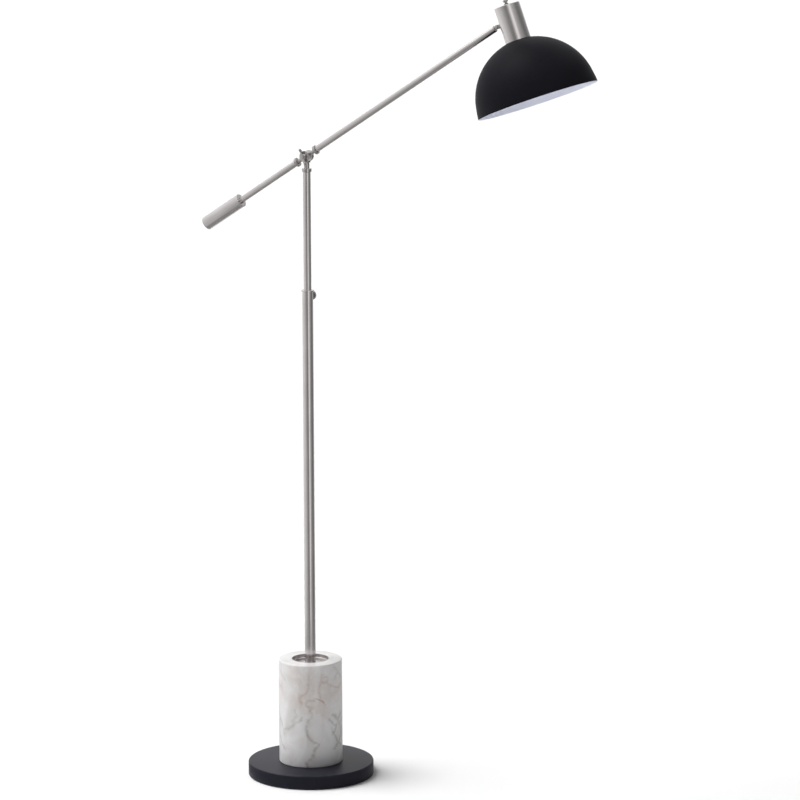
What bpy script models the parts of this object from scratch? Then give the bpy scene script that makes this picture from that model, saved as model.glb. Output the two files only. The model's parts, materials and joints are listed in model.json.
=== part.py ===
"""Balance-arm floor lamp: black disc base, marble column, telescoping pole, tilting arm, dome head.

Origin at the middle of the underside of the base, +Z up, arm in the XZ plane with its head to +X.
Lengths are in metres. Every turned profile is a list of (radius, height) points that runs down its
outer side first.
"""

import math

import bmesh
import bpy

# Clearances
GAP = 0.0003  # between faces that touch on the real lamp
SPIN_GAP = 0.0003  # around a shaft that turns or slides
THREAD_GAP = 0.0002  # around a screw in its thread
LAP = 0.0001  # how far joined shapes reach into each other

# Edges
CHAMFER = 0.001
TURNED_EDGE = 0.0008
FINE_EDGE = 0.0006

# Base
BASE_RADIUS = 0.127
BASE_HEIGHT = 0.028
COVER_WALL = 0.0012
COVER_EDGE = 0.0025
PAD_THICK = 0.002
PAD_INSET = 0.004
FLOOR_GAP = 0.001
GLAND_Z = 0.013
GLAND_NECK_R = 0.0042
GLAND_FLANGE_R = 0.0062
GLAND_FLANGE_T = 0.002
CORD_R = 0.0032
CHANNEL_WIDTH = 0.016
CHANNEL_DEPTH = 0.018

# Tie rod
PIPE_R = 0.005
PIPE_BORE_R = 0.0034
NUT_AF = 0.016
NUT_T = 0.006
WASHER_R = 0.011
WASHER_T = 0.0015
LEAD_R = 0.0026
LEAD_SPARE = 0.02

# Marble column
MARBLE_R = 0.0642
MARBLE_HEIGHT = 0.2117
MARBLE_EDGE = 0.003
MARBLE_BORE_R = 0.007
RECESS_R = 0.038
RECESS_DEPTH = 0.009
DISH_WALL = 0.001

# Lower pole
LOWER_R = 0.011
LOWER_WALL = 0.001
LOWER_TOP_Z = 0.9905
PLUG_T = 0.03
LIP_PROUD = 0.00175
LIP_T = 0.0032
COLLAR_DEPTH = 0.04
KNOB_DROP = 0.009
KNOB_R = 0.010
KNOB_T = 0.0052
SHANK_R = 0.003

# Upper pole
UPPER_R = 0.0078
UPPER_WALL = 0.001
UPPER_FOOT_Z = 0.6
UPPER_TOP_Z = 1.2298
BUSH_T = 0.025
BUSH_LIP = 0.003
RING_R = 0.0098
RING_T = 0.007
NECK_R = 0.0055
STEM_PLUG = 0.018

# Arm pivot
PIVOT_RISE = 0.0315
EAR_R = 0.011
EAR_T = 0.004
HUB_R = 0.0105
HUB_HALF = 0.0044
FRICTION_T = 0.0008
FRICTION_R = 0.0095
BOLT_R = 0.003
BOLT_HEAD_R = 0.0072
BOLT_HEAD_T = 0.0045
WING_HUB_R = 0.0062
WING_HUB_T = 0.0062
WING_REACH = 0.0172
WING_T = 0.0024
WING_ANGLE = math.radians(113)
NIPPLE_R = 0.0042
HEEL_DROP = 0.0012  # leaves room for the nipples when the arm stands steep

# Arm
ARM_ANGLE = math.radians(32.65)
ARM_R = 0.00635
ARM_WALL = 0.00085
COLLAR_R = 0.00935
COLLAR_T = 0.005
COLLAR_S = 0.0225
SET_SCREW_R = 0.0015
HEAD_HINGE_S = 0.503
TUBE_TO_HINGE = 0.0065
REAR_LENGTH = 0.19
WEIGHT_R = 0.014
WEIGHT_START = 0.18
WEIGHT_LENGTH = 0.097
WEIGHT_EDGE = 0.002
STUD_R = 0.003
STUD_LENGTH = 0.03
END_PLUG = 0.02

# Head joint
TONGUE_R = 0.0044
TONGUE_HALF = 0.002
FORK_EAR_T = 0.0025
PIN_R = 0.0016
PIN_HEAD_R = 0.003
PIN_HEAD_T = 0.0014
HINGE_TO_CUP = 0.0075
HEAD_NUT_AF = 0.009
HEAD_NUT_T = 0.0028

# Head
HEAD_TILT = math.radians(20.6)
CUP_R = 0.025
CUP_WALL = 0.0009
CUP_ABOVE = 0.0325
CUP_BELOW = 0.038
SHADE_SPHERE_R = 0.118
SHADE_RIM_FLARE = 0.0015
SHADE_RIM_DROP = 0.005
SHADE_WALL = 0.0012
SHADE_HOLE_R = 0.0205
HOLDER_R = 0.0195
HOLDER_LENGTH = 0.055
HOLDER_TOP = -0.009
SHELL_R = 0.0138
SHELL_WALL = 0.0005
RING_NUT_R = 0.027
RING_NUT_T = 0.006
BULB_R = 0.03
BULB_CAP_R = 0.0128
BULB_NECK = 0.026
BULB_WALL = 0.0008
BULB_CAP_WALL = 0.0006
SWITCH_R = 0.01
SWITCH_T = 0.022
SWITCH_NECK_R = 0.0045
SWITCH_KNOB_R = 0.0052
SWITCH_KNOB_T = 0.018

# Worked out from the sizes above
LIP_R = LOWER_R + LIP_PROUD
PIVOT_Z = UPPER_TOP_Z + PIVOT_RISE
SHADE_RIM_R = SHADE_SPHERE_R + SHADE_RIM_FLARE
LOWER_BORE_R = LOWER_R - LOWER_WALL
UPPER_BORE_R = UPPER_R - UPPER_WALL
ARM_BORE_R = ARM_R - ARM_WALL
WEIGHT_Z0 = PAD_THICK + GAP
WEIGHT_Z1 = BASE_HEIGHT - COVER_WALL - GAP
MARBLE_Z0 = BASE_HEIGHT + GAP
MARBLE_Z1 = MARBLE_Z0 + MARBLE_HEIGHT
DISH_Z0 = MARBLE_Z1 - RECESS_DEPTH + GAP
LOWER_FOOT_Z = DISH_Z0 + DISH_WALL + GAP
PIPE_HOLE_R = PIPE_R + THREAD_GAP
WELL_Z = 0.0123
KNOB_Z = LOWER_TOP_Z - KNOB_DROP
KNOB_Y = LIP_R + GAP
EAR_IN = HUB_HALF + FRICTION_T + 2 * GAP
EAR_OUT = EAR_IN + EAR_T
TUBE_S = COLLAR_S + COLLAR_T + GAP
FRONT_END_S = HEAD_HINGE_S - TUBE_TO_HINGE
CUP_X = HINGE_TO_CUP + CUP_R
FORK_IN = TONGUE_HALF + SPIN_GAP
FORK_OUT = FORK_IN + FORK_EAR_T
SPHERE_Z = -CUP_BELOW - math.sqrt(SHADE_SPHERE_R**2 - CUP_R**2)
HOLDER_END = HOLDER_TOP - HOLDER_LENGTH

QUARTER = math.pi / 2
BIG_STEPS = 48
MID_STEPS = 24
SMALL_STEPS = 16
LEAD_STEPS = 12


# ---------------------------------------------------------------- tools


def clear_scene():
    for obj in list(bpy.data.objects):
        bpy.data.objects.remove(obj, do_unlink=True)


def new_collection(name, rendered=True):
    made = bpy.data.collections.new(name)
    bpy.context.scene.collection.children.link(made)
    made.hide_render = not rendered
    return made


def new_material(name, color, roughness, metallic):
    material = bpy.data.materials.new(name)
    material.use_nodes = True
    shader = material.node_tree.nodes["Principled BSDF"]
    shader.inputs["Base Color"].default_value = (*color, 1)
    shader.inputs["Roughness"].default_value = roughness
    shader.inputs["Metallic"].default_value = metallic
    return material


def new_empty(name, location, rotation=(0, 0, 0), parent=None):
    """An empty that stands on a joint's axis, for the pieces that move with it."""
    empty = bpy.data.objects.new(name, None)
    empty.empty_display_size = 0.03
    PARTS.objects.link(empty)
    place(empty, location, rotation, parent)
    return empty


def place(obj, location=(0, 0, 0), rotation=(0, 0, 0), parent=None):
    obj.location = location
    obj.rotation_euler = rotation
    obj.parent = parent
    return obj


def finish_mesh(mesh):
    mesh.shade_smooth()
    mesh.set_sharp_from_angle(angle=math.radians(35))


def turned(name, profile, finish, steps=MID_STEPS, collection=None):
    """A piece turned about its own Z axis. A profile that starts off the axis is a closed ring."""
    mesh = bpy.data.meshes.new(name)
    count = len(profile)
    edges = [(i, i + 1) for i in range(count - 1)]
    if profile[0][0] > 0:
        edges.append((count - 1, 0))
    mesh.from_pydata([(radius, 0, height) for radius, height in profile], edges, [])
    obj = bpy.data.objects.new(name, mesh)
    (collection or PARTS).objects.link(obj)
    screw = obj.modifiers.new("Turn", "SCREW")
    screw.axis = "Z"
    screw.steps = steps
    screw.render_steps = steps
    screw.use_merge_vertices = True
    screw.merge_threshold = 0.00005
    screw.use_smooth_shade = True
    baked = bpy.data.meshes.new_from_object(obj.evaluated_get(bpy.context.evaluated_depsgraph_get()))
    obj.modifiers.remove(screw)
    obj.data = baked
    baked.name = name
    bpy.data.meshes.remove(mesh)
    finish_mesh(baked)
    if finish:
        baked.materials.append(finish)
    return obj


def helper_block(name, low, high, parent=None):
    """A box between two corners, for joining and cutting."""
    mesh = bpy.data.meshes.new(name)
    shape = bmesh.new()
    bmesh.ops.create_cube(shape, size=1)
    for vert in shape.verts:
        vert.co = [a + (b - a) * (c + 0.5) for a, b, c in zip(low, high, vert.co)]
    shape.to_mesh(mesh)
    shape.free()
    obj = bpy.data.objects.new(name, mesh)
    HELPERS.objects.link(obj)
    return place(obj, parent=parent)


def rod(name, radius, start, end, collection, steps=SMALL_STEPS, finish=None):
    """A plain solid cylinder along its own Z axis."""
    profile = [(0, end), (radius, end), (radius, start), (0, start)]
    return turned(name, profile, finish, steps, collection)


def combine(obj, other, operation):
    """Adds or takes away another object, which stays behind as a hidden helper."""
    other.hide_render = True
    other.display_type = "WIRE"
    boolean = obj.modifiers.new(other.name, "BOOLEAN")
    boolean.operation = operation
    boolean.solver = "EXACT"
    boolean.object = other


def cut(obj, other):
    combine(obj, other, "DIFFERENCE")


def join(obj, other):
    combine(obj, other, "UNION")


def helper_rod(name, radius, start, end, location=(0, 0, 0), rotation=(0, 0, 0), parent=None):
    made = rod(name, radius, start, end, HELPERS)
    return place(made, location, rotation, parent)


def hex_nut(name, across_flats, start, end, bore_r, finish, rotation=(0, 0, 0), parent=None):
    """A six-sided nut along its own Z axis."""
    mesh = bpy.data.meshes.new(name)
    shape = bmesh.new()
    radius = across_flats / 2 / math.cos(math.pi / 6)
    bmesh.ops.create_cone(
        shape, cap_ends=True, segments=6, radius1=radius, radius2=radius, depth=end - start
    )
    bmesh.ops.translate(shape, verts=shape.verts, vec=(0, 0, (start + end) / 2))
    shape.to_mesh(mesh)
    shape.free()
    mesh.materials.append(finish)
    nut = place(bpy.data.objects.new(name, mesh), (0, 0, 0), rotation, parent)
    PARTS.objects.link(nut)
    bore = helper_rod(name + "_bore", bore_r, start - CHAMFER, end + CHAMFER, (0, 0, 0), rotation, parent)
    cut(nut, bore)


def arc(center_r, center_z, radius, start_deg, end_deg, count):
    """Points on a circle in a profile, with 0 degrees pointing outwards and 90 up."""
    points = []
    for i in range(count + 1):
        angle = math.radians(start_deg + (end_deg - start_deg) * i / count)
        points.append((center_r + radius * math.cos(angle), center_z + radius * math.sin(angle)))
    return points


# ---------------------------------------------------------------- base and column


def make_base():
    skirt = BASE_RADIUS - COVER_WALL
    roof = BASE_HEIGHT - COVER_WALL
    inner_edge = COVER_EDGE - COVER_WALL
    cover = turned(
        "base_cover",
        [(PIPE_HOLE_R, BASE_HEIGHT)]
        + arc(BASE_RADIUS - COVER_EDGE, BASE_HEIGHT - COVER_EDGE, COVER_EDGE, 90, 0, 4)
        + [(BASE_RADIUS, FLOOR_GAP), (skirt, FLOOR_GAP)]
        + arc(skirt - inner_edge, roof - inner_edge, inner_edge, 0, 90, 2)
        + [(PIPE_HOLE_R, roof)],
        BLACK,
        BIG_STEPS,
    )
    weight_r = skirt - GAP
    chamfer = COVER_EDGE
    well_r = WASHER_R + 2 * GAP
    weight = turned(
        "base_weight",
        [
            (PIPE_HOLE_R, WEIGHT_Z1),
            (weight_r - chamfer, WEIGHT_Z1),
            (weight_r, WEIGHT_Z1 - chamfer),
            (weight_r, WEIGHT_Z0),
            (well_r, WEIGHT_Z0),
            (well_r, WELL_Z),
            (PIPE_HOLE_R, WELL_Z),
        ],
        IRON,
        BIG_STEPS,
    )
    turned(
        "base_pad",
        [
            (0, PAD_THICK),
            (BASE_RADIUS - PAD_INSET, PAD_THICK),
            (BASE_RADIUS - PAD_INSET, 0),
            (0, 0),
        ],
        PAD,
        BIG_STEPS,
    )
    channel_low = (-BASE_RADIUS, -CHANNEL_WIDTH / 2, WEIGHT_Z0 - 0.001)
    channel_high = (-well_r / 2, CHANNEL_WIDTH / 2, WEIGHT_Z0 + CHANNEL_DEPTH)
    cut(weight, helper_block("weight_channel", channel_low, channel_high))
    rear = (-BASE_RADIUS, 0, GLAND_Z)
    turn = (0, -QUARTER, 0)
    hole_r = GLAND_NECK_R + GAP
    cut(cover, helper_rod("gland_hole", hole_r, -0.01, 0.01, rear, turn))
    sag = GLAND_FLANGE_R**2 / 2 / BASE_RADIUS
    inner_face = -COVER_WALL - GAP - sag
    gland = turned(
        "cord_gland",
        [
            (CORD_R, GLAND_FLANGE_T + GAP),
            (GLAND_FLANGE_R - CHAMFER, GLAND_FLANGE_T + GAP),
            (GLAND_FLANGE_R, GLAND_FLANGE_T / 2 + GAP),
            (GLAND_FLANGE_R, GAP),
            (GLAND_NECK_R, GAP),
            (GLAND_NECK_R, inner_face),
            (GLAND_FLANGE_R, inner_face),
            (GLAND_FLANGE_R - CHAMFER, inner_face - GLAND_FLANGE_T),
            (CORD_R, inner_face - GLAND_FLANGE_T),
        ],
        RUBBER,
        SMALL_STEPS,
    )
    place(gland, rear, turn)


def make_column():
    turned(
        "marble_column",
        [(RECESS_R, MARBLE_Z1)]
        + arc(MARBLE_R - MARBLE_EDGE, MARBLE_Z1 - MARBLE_EDGE, MARBLE_EDGE, 90, 0, 4)
        + [
            (MARBLE_R, MARBLE_Z0 + CHAMFER),
            (MARBLE_R - CHAMFER, MARBLE_Z0),
            (MARBLE_BORE_R, MARBLE_Z0),
            (MARBLE_BORE_R, MARBLE_Z1 - RECESS_DEPTH),
            (RECESS_R, MARBLE_Z1 - RECESS_DEPTH),
        ],
        MARBLE,
        BIG_STEPS,
    )
    dish_r = RECESS_R - GAP
    dish_z1 = MARBLE_Z1 + 0.0002
    bend = 0.002
    turned(
        "seat_dish",
        [(dish_r - DISH_WALL, dish_z1), (dish_r, dish_z1)]
        + arc(dish_r - bend, DISH_Z0 + bend, bend, 0, -90, 3)
        + [(PIPE_HOLE_R, DISH_Z0), (PIPE_HOLE_R, DISH_Z0 + DISH_WALL)]
        + arc(dish_r - bend, DISH_Z0 + bend, bend - DISH_WALL, -90, 0, 3),
        NICKEL,
        MID_STEPS,
    )
    pipe_top = LOWER_FOOT_Z + PLUG_T + 0.008
    pipe_foot = PAD_THICK + 0.0015
    turned(
        "tie_pipe",
        [
            (PIPE_BORE_R, pipe_top),
            (PIPE_R, pipe_top),
            (PIPE_R, pipe_foot),
            (PIPE_BORE_R, pipe_foot),
        ],
        STEEL,
        SMALL_STEPS,
    )
    washer_top = WELL_Z - GAP
    washer_foot = washer_top - WASHER_T
    turned(
        "tie_washer",
        [
            (PIPE_HOLE_R, washer_top),
            (WASHER_R, washer_top),
            (WASHER_R, washer_foot),
            (PIPE_HOLE_R, washer_foot),
        ],
        STEEL,
        SMALL_STEPS,
    )
    nut_top = washer_foot - GAP
    hex_nut("tie_nut", NUT_AF, nut_top - NUT_T, nut_top, PIPE_HOLE_R, STEEL)
    plug_r = LOWER_BORE_R - GAP
    turned(
        "tube_plug",
        [
            (PIPE_HOLE_R, LOWER_FOOT_Z + PLUG_T),
            (plug_r - CHAMFER, LOWER_FOOT_Z + PLUG_T),
            (plug_r, LOWER_FOOT_Z + PLUG_T - CHAMFER),
            (plug_r, LOWER_FOOT_Z),
            (PIPE_HOLE_R, LOWER_FOOT_Z),
        ],
        BRASS,
        SMALL_STEPS,
    )
    lead_foot = pipe_foot + 0.002
    rod("column_lead", LEAD_R, lead_foot, UPPER_FOOT_Z - LEAD_SPARE, PARTS, LEAD_STEPS, CABLE)


def make_lower_pole():
    tube = turned(
        "lower_tube",
        [
            (LOWER_BORE_R, LOWER_TOP_Z),
            (LOWER_R, LOWER_TOP_Z),
            (LOWER_R, LOWER_FOOT_Z),
            (LOWER_BORE_R, LOWER_FOOT_Z),
        ],
        NICKEL,
        MID_STEPS,
    )
    spigot_r = LOWER_BORE_R - GAP
    bore_r = UPPER_R + SPIN_GAP
    lip_z = LOWER_TOP_Z + GAP
    lip_top = lip_z + LIP_T
    round_edge = TURNED_EDGE
    collar = turned(
        "lock_collar",
        [(bore_r, lip_top)]
        + arc(LIP_R - round_edge, lip_top - round_edge, round_edge, 90, 0, 2)
        + [
            (LIP_R, lip_z),
            (spigot_r, lip_z),
            (spigot_r, lip_z - COLLAR_DEPTH),
            (bore_r, lip_z - COLLAR_DEPTH),
        ],
        NICKEL,
        MID_STEPS,
    )
    screw_hole = SHANK_R + THREAD_GAP
    knob_axis = new_empty("height_knob_axis", (0, 0, KNOB_Z), (-QUARTER, 0, 0))
    for piece in (tube, collar):
        reach = helper_rod(piece.name + "_screw_hole", screw_hole, 0, LIP_R * 2, parent=knob_axis)
        cut(piece, reach)
    face = KNOB_Y + KNOB_T
    dish = 0.0012
    turned_knob = turned(
        "height_knob",
        [(0, face - dish), (KNOB_R * 0.55, face - dish), (KNOB_R * 0.72, face)]
        + arc(KNOB_R - 0.0012, face - 0.0012, 0.0012, 90, 0, 3)
        + [
            (KNOB_R, KNOB_Y + TURNED_EDGE),
            (KNOB_R - TURNED_EDGE, KNOB_Y),
            (SHANK_R, KNOB_Y),
            (SHANK_R, UPPER_R + GAP),
            (0, UPPER_R + GAP),
        ],
        POLISHED,
        MID_STEPS,
    )
    place(turned_knob, parent=knob_axis)


# ---------------------------------------------------------------- upper pole and pivot


def make_upper_pole():
    slide_axis = new_empty("height_slide_axis", (0, 0, 0))
    turn_axis = new_empty("column_turn_axis", (0, 0, 0), parent=slide_axis)
    sleeve_in = UPPER_R + SPIN_GAP
    sleeve_out = LOWER_BORE_R - SPIN_GAP
    bush = turned(
        "guide_bush",
        [
            (sleeve_in, UPPER_FOOT_Z + BUSH_T),
            (sleeve_out, UPPER_FOOT_Z + BUSH_T),
            (sleeve_out, UPPER_FOOT_Z - GAP - BUSH_LIP),
            (UPPER_BORE_R, UPPER_FOOT_Z - GAP - BUSH_LIP),
            (UPPER_BORE_R, UPPER_FOOT_Z - GAP),
            (sleeve_in, UPPER_FOOT_Z - GAP),
        ],
        NYLON,
        SMALL_STEPS,
    )
    place(bush, parent=slide_axis)
    tube = turned(
        "upper_tube",
        [
            (UPPER_BORE_R, UPPER_TOP_Z),
            (UPPER_R, UPPER_TOP_Z),
            (UPPER_R, UPPER_FOOT_Z),
            (UPPER_BORE_R, UPPER_FOOT_Z),
        ],
        NICKEL,
        MID_STEPS,
    )
    place(tube, parent=turn_axis)
    ring_foot = UPPER_TOP_Z + GAP
    ring_top = ring_foot + RING_T
    neck_top = PIVOT_Z - EAR_R - 0.003
    plug_r = UPPER_BORE_R - GAP
    edge = 0.001
    stem = turned(
        "stem_ring",
        [
            (0, neck_top),
            (NECK_R, neck_top),
            (NECK_R, ring_top),
        ]
        + arc(RING_R - edge, ring_top - edge, edge, 90, 0, 3)
        + arc(RING_R - edge, ring_foot + edge, edge, 0, -90, 3)
        + [
            (plug_r, ring_foot),
            (plug_r, ring_foot - STEM_PLUG),
            (0, ring_foot - STEM_PLUG),
        ],
        POLISHED,
        MID_STEPS,
    )
    place(stem, parent=turn_axis)
    return turn_axis, neck_top


def make_pivot(turn_axis, neck_top):
    """The fork on the pole and the bolt, washers and wing nut that clamp the arm's hub in it."""
    axis = new_empty("pivot_centre", (0, 0, PIVOT_Z), (QUARTER, 0, 0), turn_axis)
    edge = FINE_EDGE
    fork = turned(
        "pivot_fork",
        [(0, EAR_OUT)]
        + arc(EAR_R - edge, EAR_OUT - edge, edge, 90, 0, 2)
        + arc(EAR_R - edge, edge - EAR_OUT, edge, 0, -90, 2)
        + [(0, -EAR_OUT)],
        POLISHED,
        MID_STEPS,
    )
    place(fork, parent=axis)
    foot = PIVOT_Z - neck_top - GAP
    shoulder = HUB_R + GAP
    throat = rod("fork_throat", EAR_R + CHAMFER, -EAR_IN, EAR_IN, HELPERS, MID_STEPS)
    cut(fork, place(throat, parent=axis))
    heel = turned(
        "fork_heel",
        [
            (0, -shoulder - HEEL_DROP),
            (NECK_R, -shoulder - HEEL_DROP),
            (NECK_R, -foot),
            (0, -foot),
        ],
        None,
        MID_STEPS,
        HELPERS,
    )
    place(heel, (0, 0, PIVOT_Z), parent=turn_axis)
    join(fork, heel)
    bar_half = NECK_R * 0.7
    bar_top = -shoulder - LAP
    bar_low = (-bar_half, edge - EAR_OUT, -foot + 4 * LAP)
    bar_high = (bar_half, EAR_OUT - edge, bar_top)
    bar = helper_block("fork_heel_bar", bar_low, bar_high)
    join(fork, place(bar, (0, 0, PIVOT_Z), parent=turn_axis))
    root_half = bar_half - 2 * LAP
    root_top = -HUB_R * 0.6
    for name, low in (("fork_root_near", -EAR_OUT + 2 * edge), ("fork_root_far", EAR_IN + LAP)):
        high = low + EAR_T - 2 * edge - LAP
        root = helper_block(name, (-root_half, low, bar_top - edge), (root_half, high, root_top))
        join(fork, place(root, (0, 0, PIVOT_Z), parent=turn_axis))
    bolt_hole = BOLT_R + THREAD_GAP
    cut(fork, helper_rod("fork_bolt_hole", bolt_hole, -2 * EAR_OUT, 2 * EAR_OUT, parent=axis))
    head_face = -EAR_OUT - GAP
    nut_face = EAR_OUT + GAP
    bolt = turned(
        "pivot_bolt",
        [
            (0, nut_face + WING_HUB_T + 0.0015),
            (BOLT_R, nut_face + WING_HUB_T + 0.0015),
            (BOLT_R, head_face),
            (BOLT_HEAD_R, head_face),
            (BOLT_HEAD_R, head_face - BOLT_HEAD_T * 0.5),
            (BOLT_HEAD_R * 0.85, head_face - BOLT_HEAD_T * 0.85),
            (BOLT_HEAD_R * 0.4, head_face - BOLT_HEAD_T),
            (0, head_face - BOLT_HEAD_T),
        ],
        POLISHED,
        SMALL_STEPS,
    )
    place(bolt, parent=axis)
    for name, side in (("friction_washer_near", 1), ("friction_washer_far", -1)):
        near = side * (HUB_HALF + GAP)
        far = side * (HUB_HALF + GAP + FRICTION_T)
        high, low = max(near, far), min(near, far)
        washer = turned(
            name,
            [(bolt_hole, high), (FRICTION_R, high), (FRICTION_R, low), (bolt_hole, low)],
            NYLON,
            SMALL_STEPS,
        )
        place(washer, parent=axis)
    wing_axis = new_empty("wing_nut_axis", (0, 0, 0), (0, 0, WING_ANGLE), axis)
    wing = turned(
        "wing_nut",
        [
            (bolt_hole, nut_face + WING_HUB_T),
            (WING_HUB_R * 0.8, nut_face + WING_HUB_T),
            (WING_HUB_R, nut_face + 0.001),
            (WING_HUB_R, nut_face),
            (bolt_hole, nut_face),
        ],
        POLISHED,
        SMALL_STEPS,
    )
    place(wing, parent=wing_axis)
    for side in (1, -1):
        outline = [
            (bolt_hole + 0.0012, nut_face + 0.001),
            (WING_REACH * 0.62, nut_face + 0.0016),
            (WING_REACH * 0.92, nut_face + 0.003),
            (WING_REACH, nut_face + 0.0062),
            (WING_REACH * 0.94, nut_face + 0.009),
            (WING_REACH * 0.8, nut_face + 0.0096),
            (WING_REACH * 0.6, nut_face + 0.0075),
            (bolt_hole + 0.0012, nut_face + WING_HUB_T - 0.0006),
        ]
        blade = flat_plate(f"wing_blade_{side}", [(side * r, h) for r, h in outline], WING_T)
        join(wing, place(blade, parent=wing_axis))


def flat_plate(name, outline, thickness):
    """A flat outline in the XZ plane, given thickness along Y, as a mesh helper."""
    curve = bpy.data.curves.new(name, "CURVE")
    curve.dimensions = "2D"
    curve.fill_mode = "BOTH"
    curve.extrude = thickness / 2
    spline = curve.splines.new("POLY")
    spline.points.add(len(outline) - 1)
    for point, (x, z) in zip(spline.points, outline):
        point.co = (x, z, 0, 1)
    spline.use_cyclic_u = True
    guide = bpy.data.objects.new(name, curve)
    HELPERS.objects.link(guide)
    mesh = bpy.data.meshes.new_from_object(
        guide.evaluated_get(bpy.context.evaluated_depsgraph_get())
    )
    bpy.data.objects.remove(guide)
    shape = bmesh.new()
    shape.from_mesh(mesh)
    bmesh.ops.remove_doubles(shape, verts=shape.verts, dist=0.000005)
    for vert in shape.verts:
        vert.co = (vert.co.x, -vert.co.z, vert.co.y)
    bmesh.ops.recalc_face_normals(shape, faces=shape.faces)
    shape.to_mesh(mesh)
    shape.free()
    plate = bpy.data.objects.new(name, mesh)
    HELPERS.objects.link(plate)
    return plate


# ---------------------------------------------------------------- arm


def make_arm(turn_axis):
    """Pieces along the arm, whose own X axis runs from the counterweight to the head."""
    arm_axis = new_empty("arm_tilt_axis", (0, 0, PIVOT_Z), (0, -ARM_ANGLE, 0), turn_axis)
    along = (0, QUARTER, 0)
    hub_edge = FINE_EDGE
    hub = turned(
        "arm_hub",
        [(0, HUB_HALF)]
        + arc(HUB_R - hub_edge, HUB_HALF - hub_edge, hub_edge, 90, 0, 2)
        + arc(HUB_R - hub_edge, hub_edge - HUB_HALF, hub_edge, 0, -90, 2)
        + [(0, -HUB_HALF)],
        POLISHED,
        MID_STEPS,
    )
    place(hub, (0, 0, 0), (QUARTER, 0, 0), arm_axis)
    nipple_end = TUBE_S + END_PLUG
    nipple = helper_rod("hub_nipple", NIPPLE_R, -nipple_end, nipple_end, (0, 0, 0), along, arm_axis)
    join(hub, nipple)
    hole = BOLT_R + SPIN_GAP
    cut(hub, helper_rod("hub_bolt_hole", hole, -EAR_OUT, EAR_OUT, (0, 0, 0), (QUARTER, 0, 0), arm_axis))
    for name, start in (("collar_front", COLLAR_S), ("collar_rear", -COLLAR_S - COLLAR_T)):
        bore = NIPPLE_R + GAP
        edge = TURNED_EDGE
        collar = turned(
            name,
            [(bore, start + COLLAR_T)]
            + arc(COLLAR_R - edge, start + COLLAR_T - edge, edge, 90, 0, 2)
            + arc(COLLAR_R - edge, start + edge, edge, 0, -90, 2)
            + [(bore, start)],
            POLISHED,
            MID_STEPS,
        )
        place(collar, (0, 0, 0), along, arm_axis)
        if name == "collar_rear":
            add_collar_screw(collar, arm_axis)
    tubes = (("arm_tube_front", TUBE_S, FRONT_END_S), ("arm_tube_rear", -REAR_LENGTH, -TUBE_S))
    for name, start, end in tubes:
        tube = turned(
            name,
            [(ARM_BORE_R, end), (ARM_R, end), (ARM_R, start), (ARM_BORE_R, start)],
            NICKEL,
            MID_STEPS,
        )
        place(tube, (0, 0, 0), along, arm_axis)
    lead_start = nipple_end + 0.004
    lead_end = FRONT_END_S - END_PLUG - 0.004
    lead = rod("arm_lead", LEAD_R, lead_start, lead_end, PARTS, LEAD_STEPS, CABLE)
    place(lead, (0, 0, 0), along, arm_axis)
    make_counterweight(arm_axis, along)
    make_arm_end(arm_axis, along)
    return arm_axis


def add_collar_screw(collar, arm_axis):
    """A set screw in the side of the rear collar, seen from the near side."""
    middle = -COLLAR_S - COLLAR_T / 2
    spot = (middle, 0, 0)
    turn = (QUARTER, 0, 0)
    hole_r = SET_SCREW_R + THREAD_GAP
    cut(collar, helper_rod("collar_screw_hole", hole_r, 0, COLLAR_R * 2, spot, turn, arm_axis))
    top = COLLAR_R - FINE_EDGE
    screw = rod("collar_screw", SET_SCREW_R, NIPPLE_R + GAP, top, PARTS, SMALL_STEPS, STEEL)
    place(screw, spot, turn, arm_axis)


def make_counterweight(arm_axis, along):
    end = -WEIGHT_START - WEIGHT_LENGTH
    bore = ARM_R + GAP
    step = -REAR_LENGTH - GAP
    stud_hole = STUD_R + THREAD_GAP
    stud_end = -REAR_LENGTH - STUD_LENGTH
    weight = turned(
        "counterweight",
        [(bore, -WEIGHT_START)]
        + arc(WEIGHT_R - TURNED_EDGE, -WEIGHT_START - TURNED_EDGE, TURNED_EDGE, 90, 0, 2)
        + arc(WEIGHT_R - WEIGHT_EDGE, end + WEIGHT_EDGE, WEIGHT_EDGE, 0, -90, 4)
        + [
            (0, end),
            (0, stud_end - GAP),
            (stud_hole, stud_end - GAP),
            (stud_hole, step),
            (bore, step),
        ],
        NICKEL,
        MID_STEPS,
    )
    place(weight, (0, 0, 0), along, arm_axis)
    plug_r = ARM_BORE_R - GAP
    stud = turned(
        "counterweight_stud",
        [
            (0, -REAR_LENGTH + END_PLUG),
            (plug_r, -REAR_LENGTH + END_PLUG),
            (plug_r, -REAR_LENGTH),
            (STUD_R, -REAR_LENGTH),
            (STUD_R, stud_end),
            (0, stud_end),
        ],
        STEEL,
        SMALL_STEPS,
    )
    place(stud, (0, 0, 0), along, arm_axis)


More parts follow.
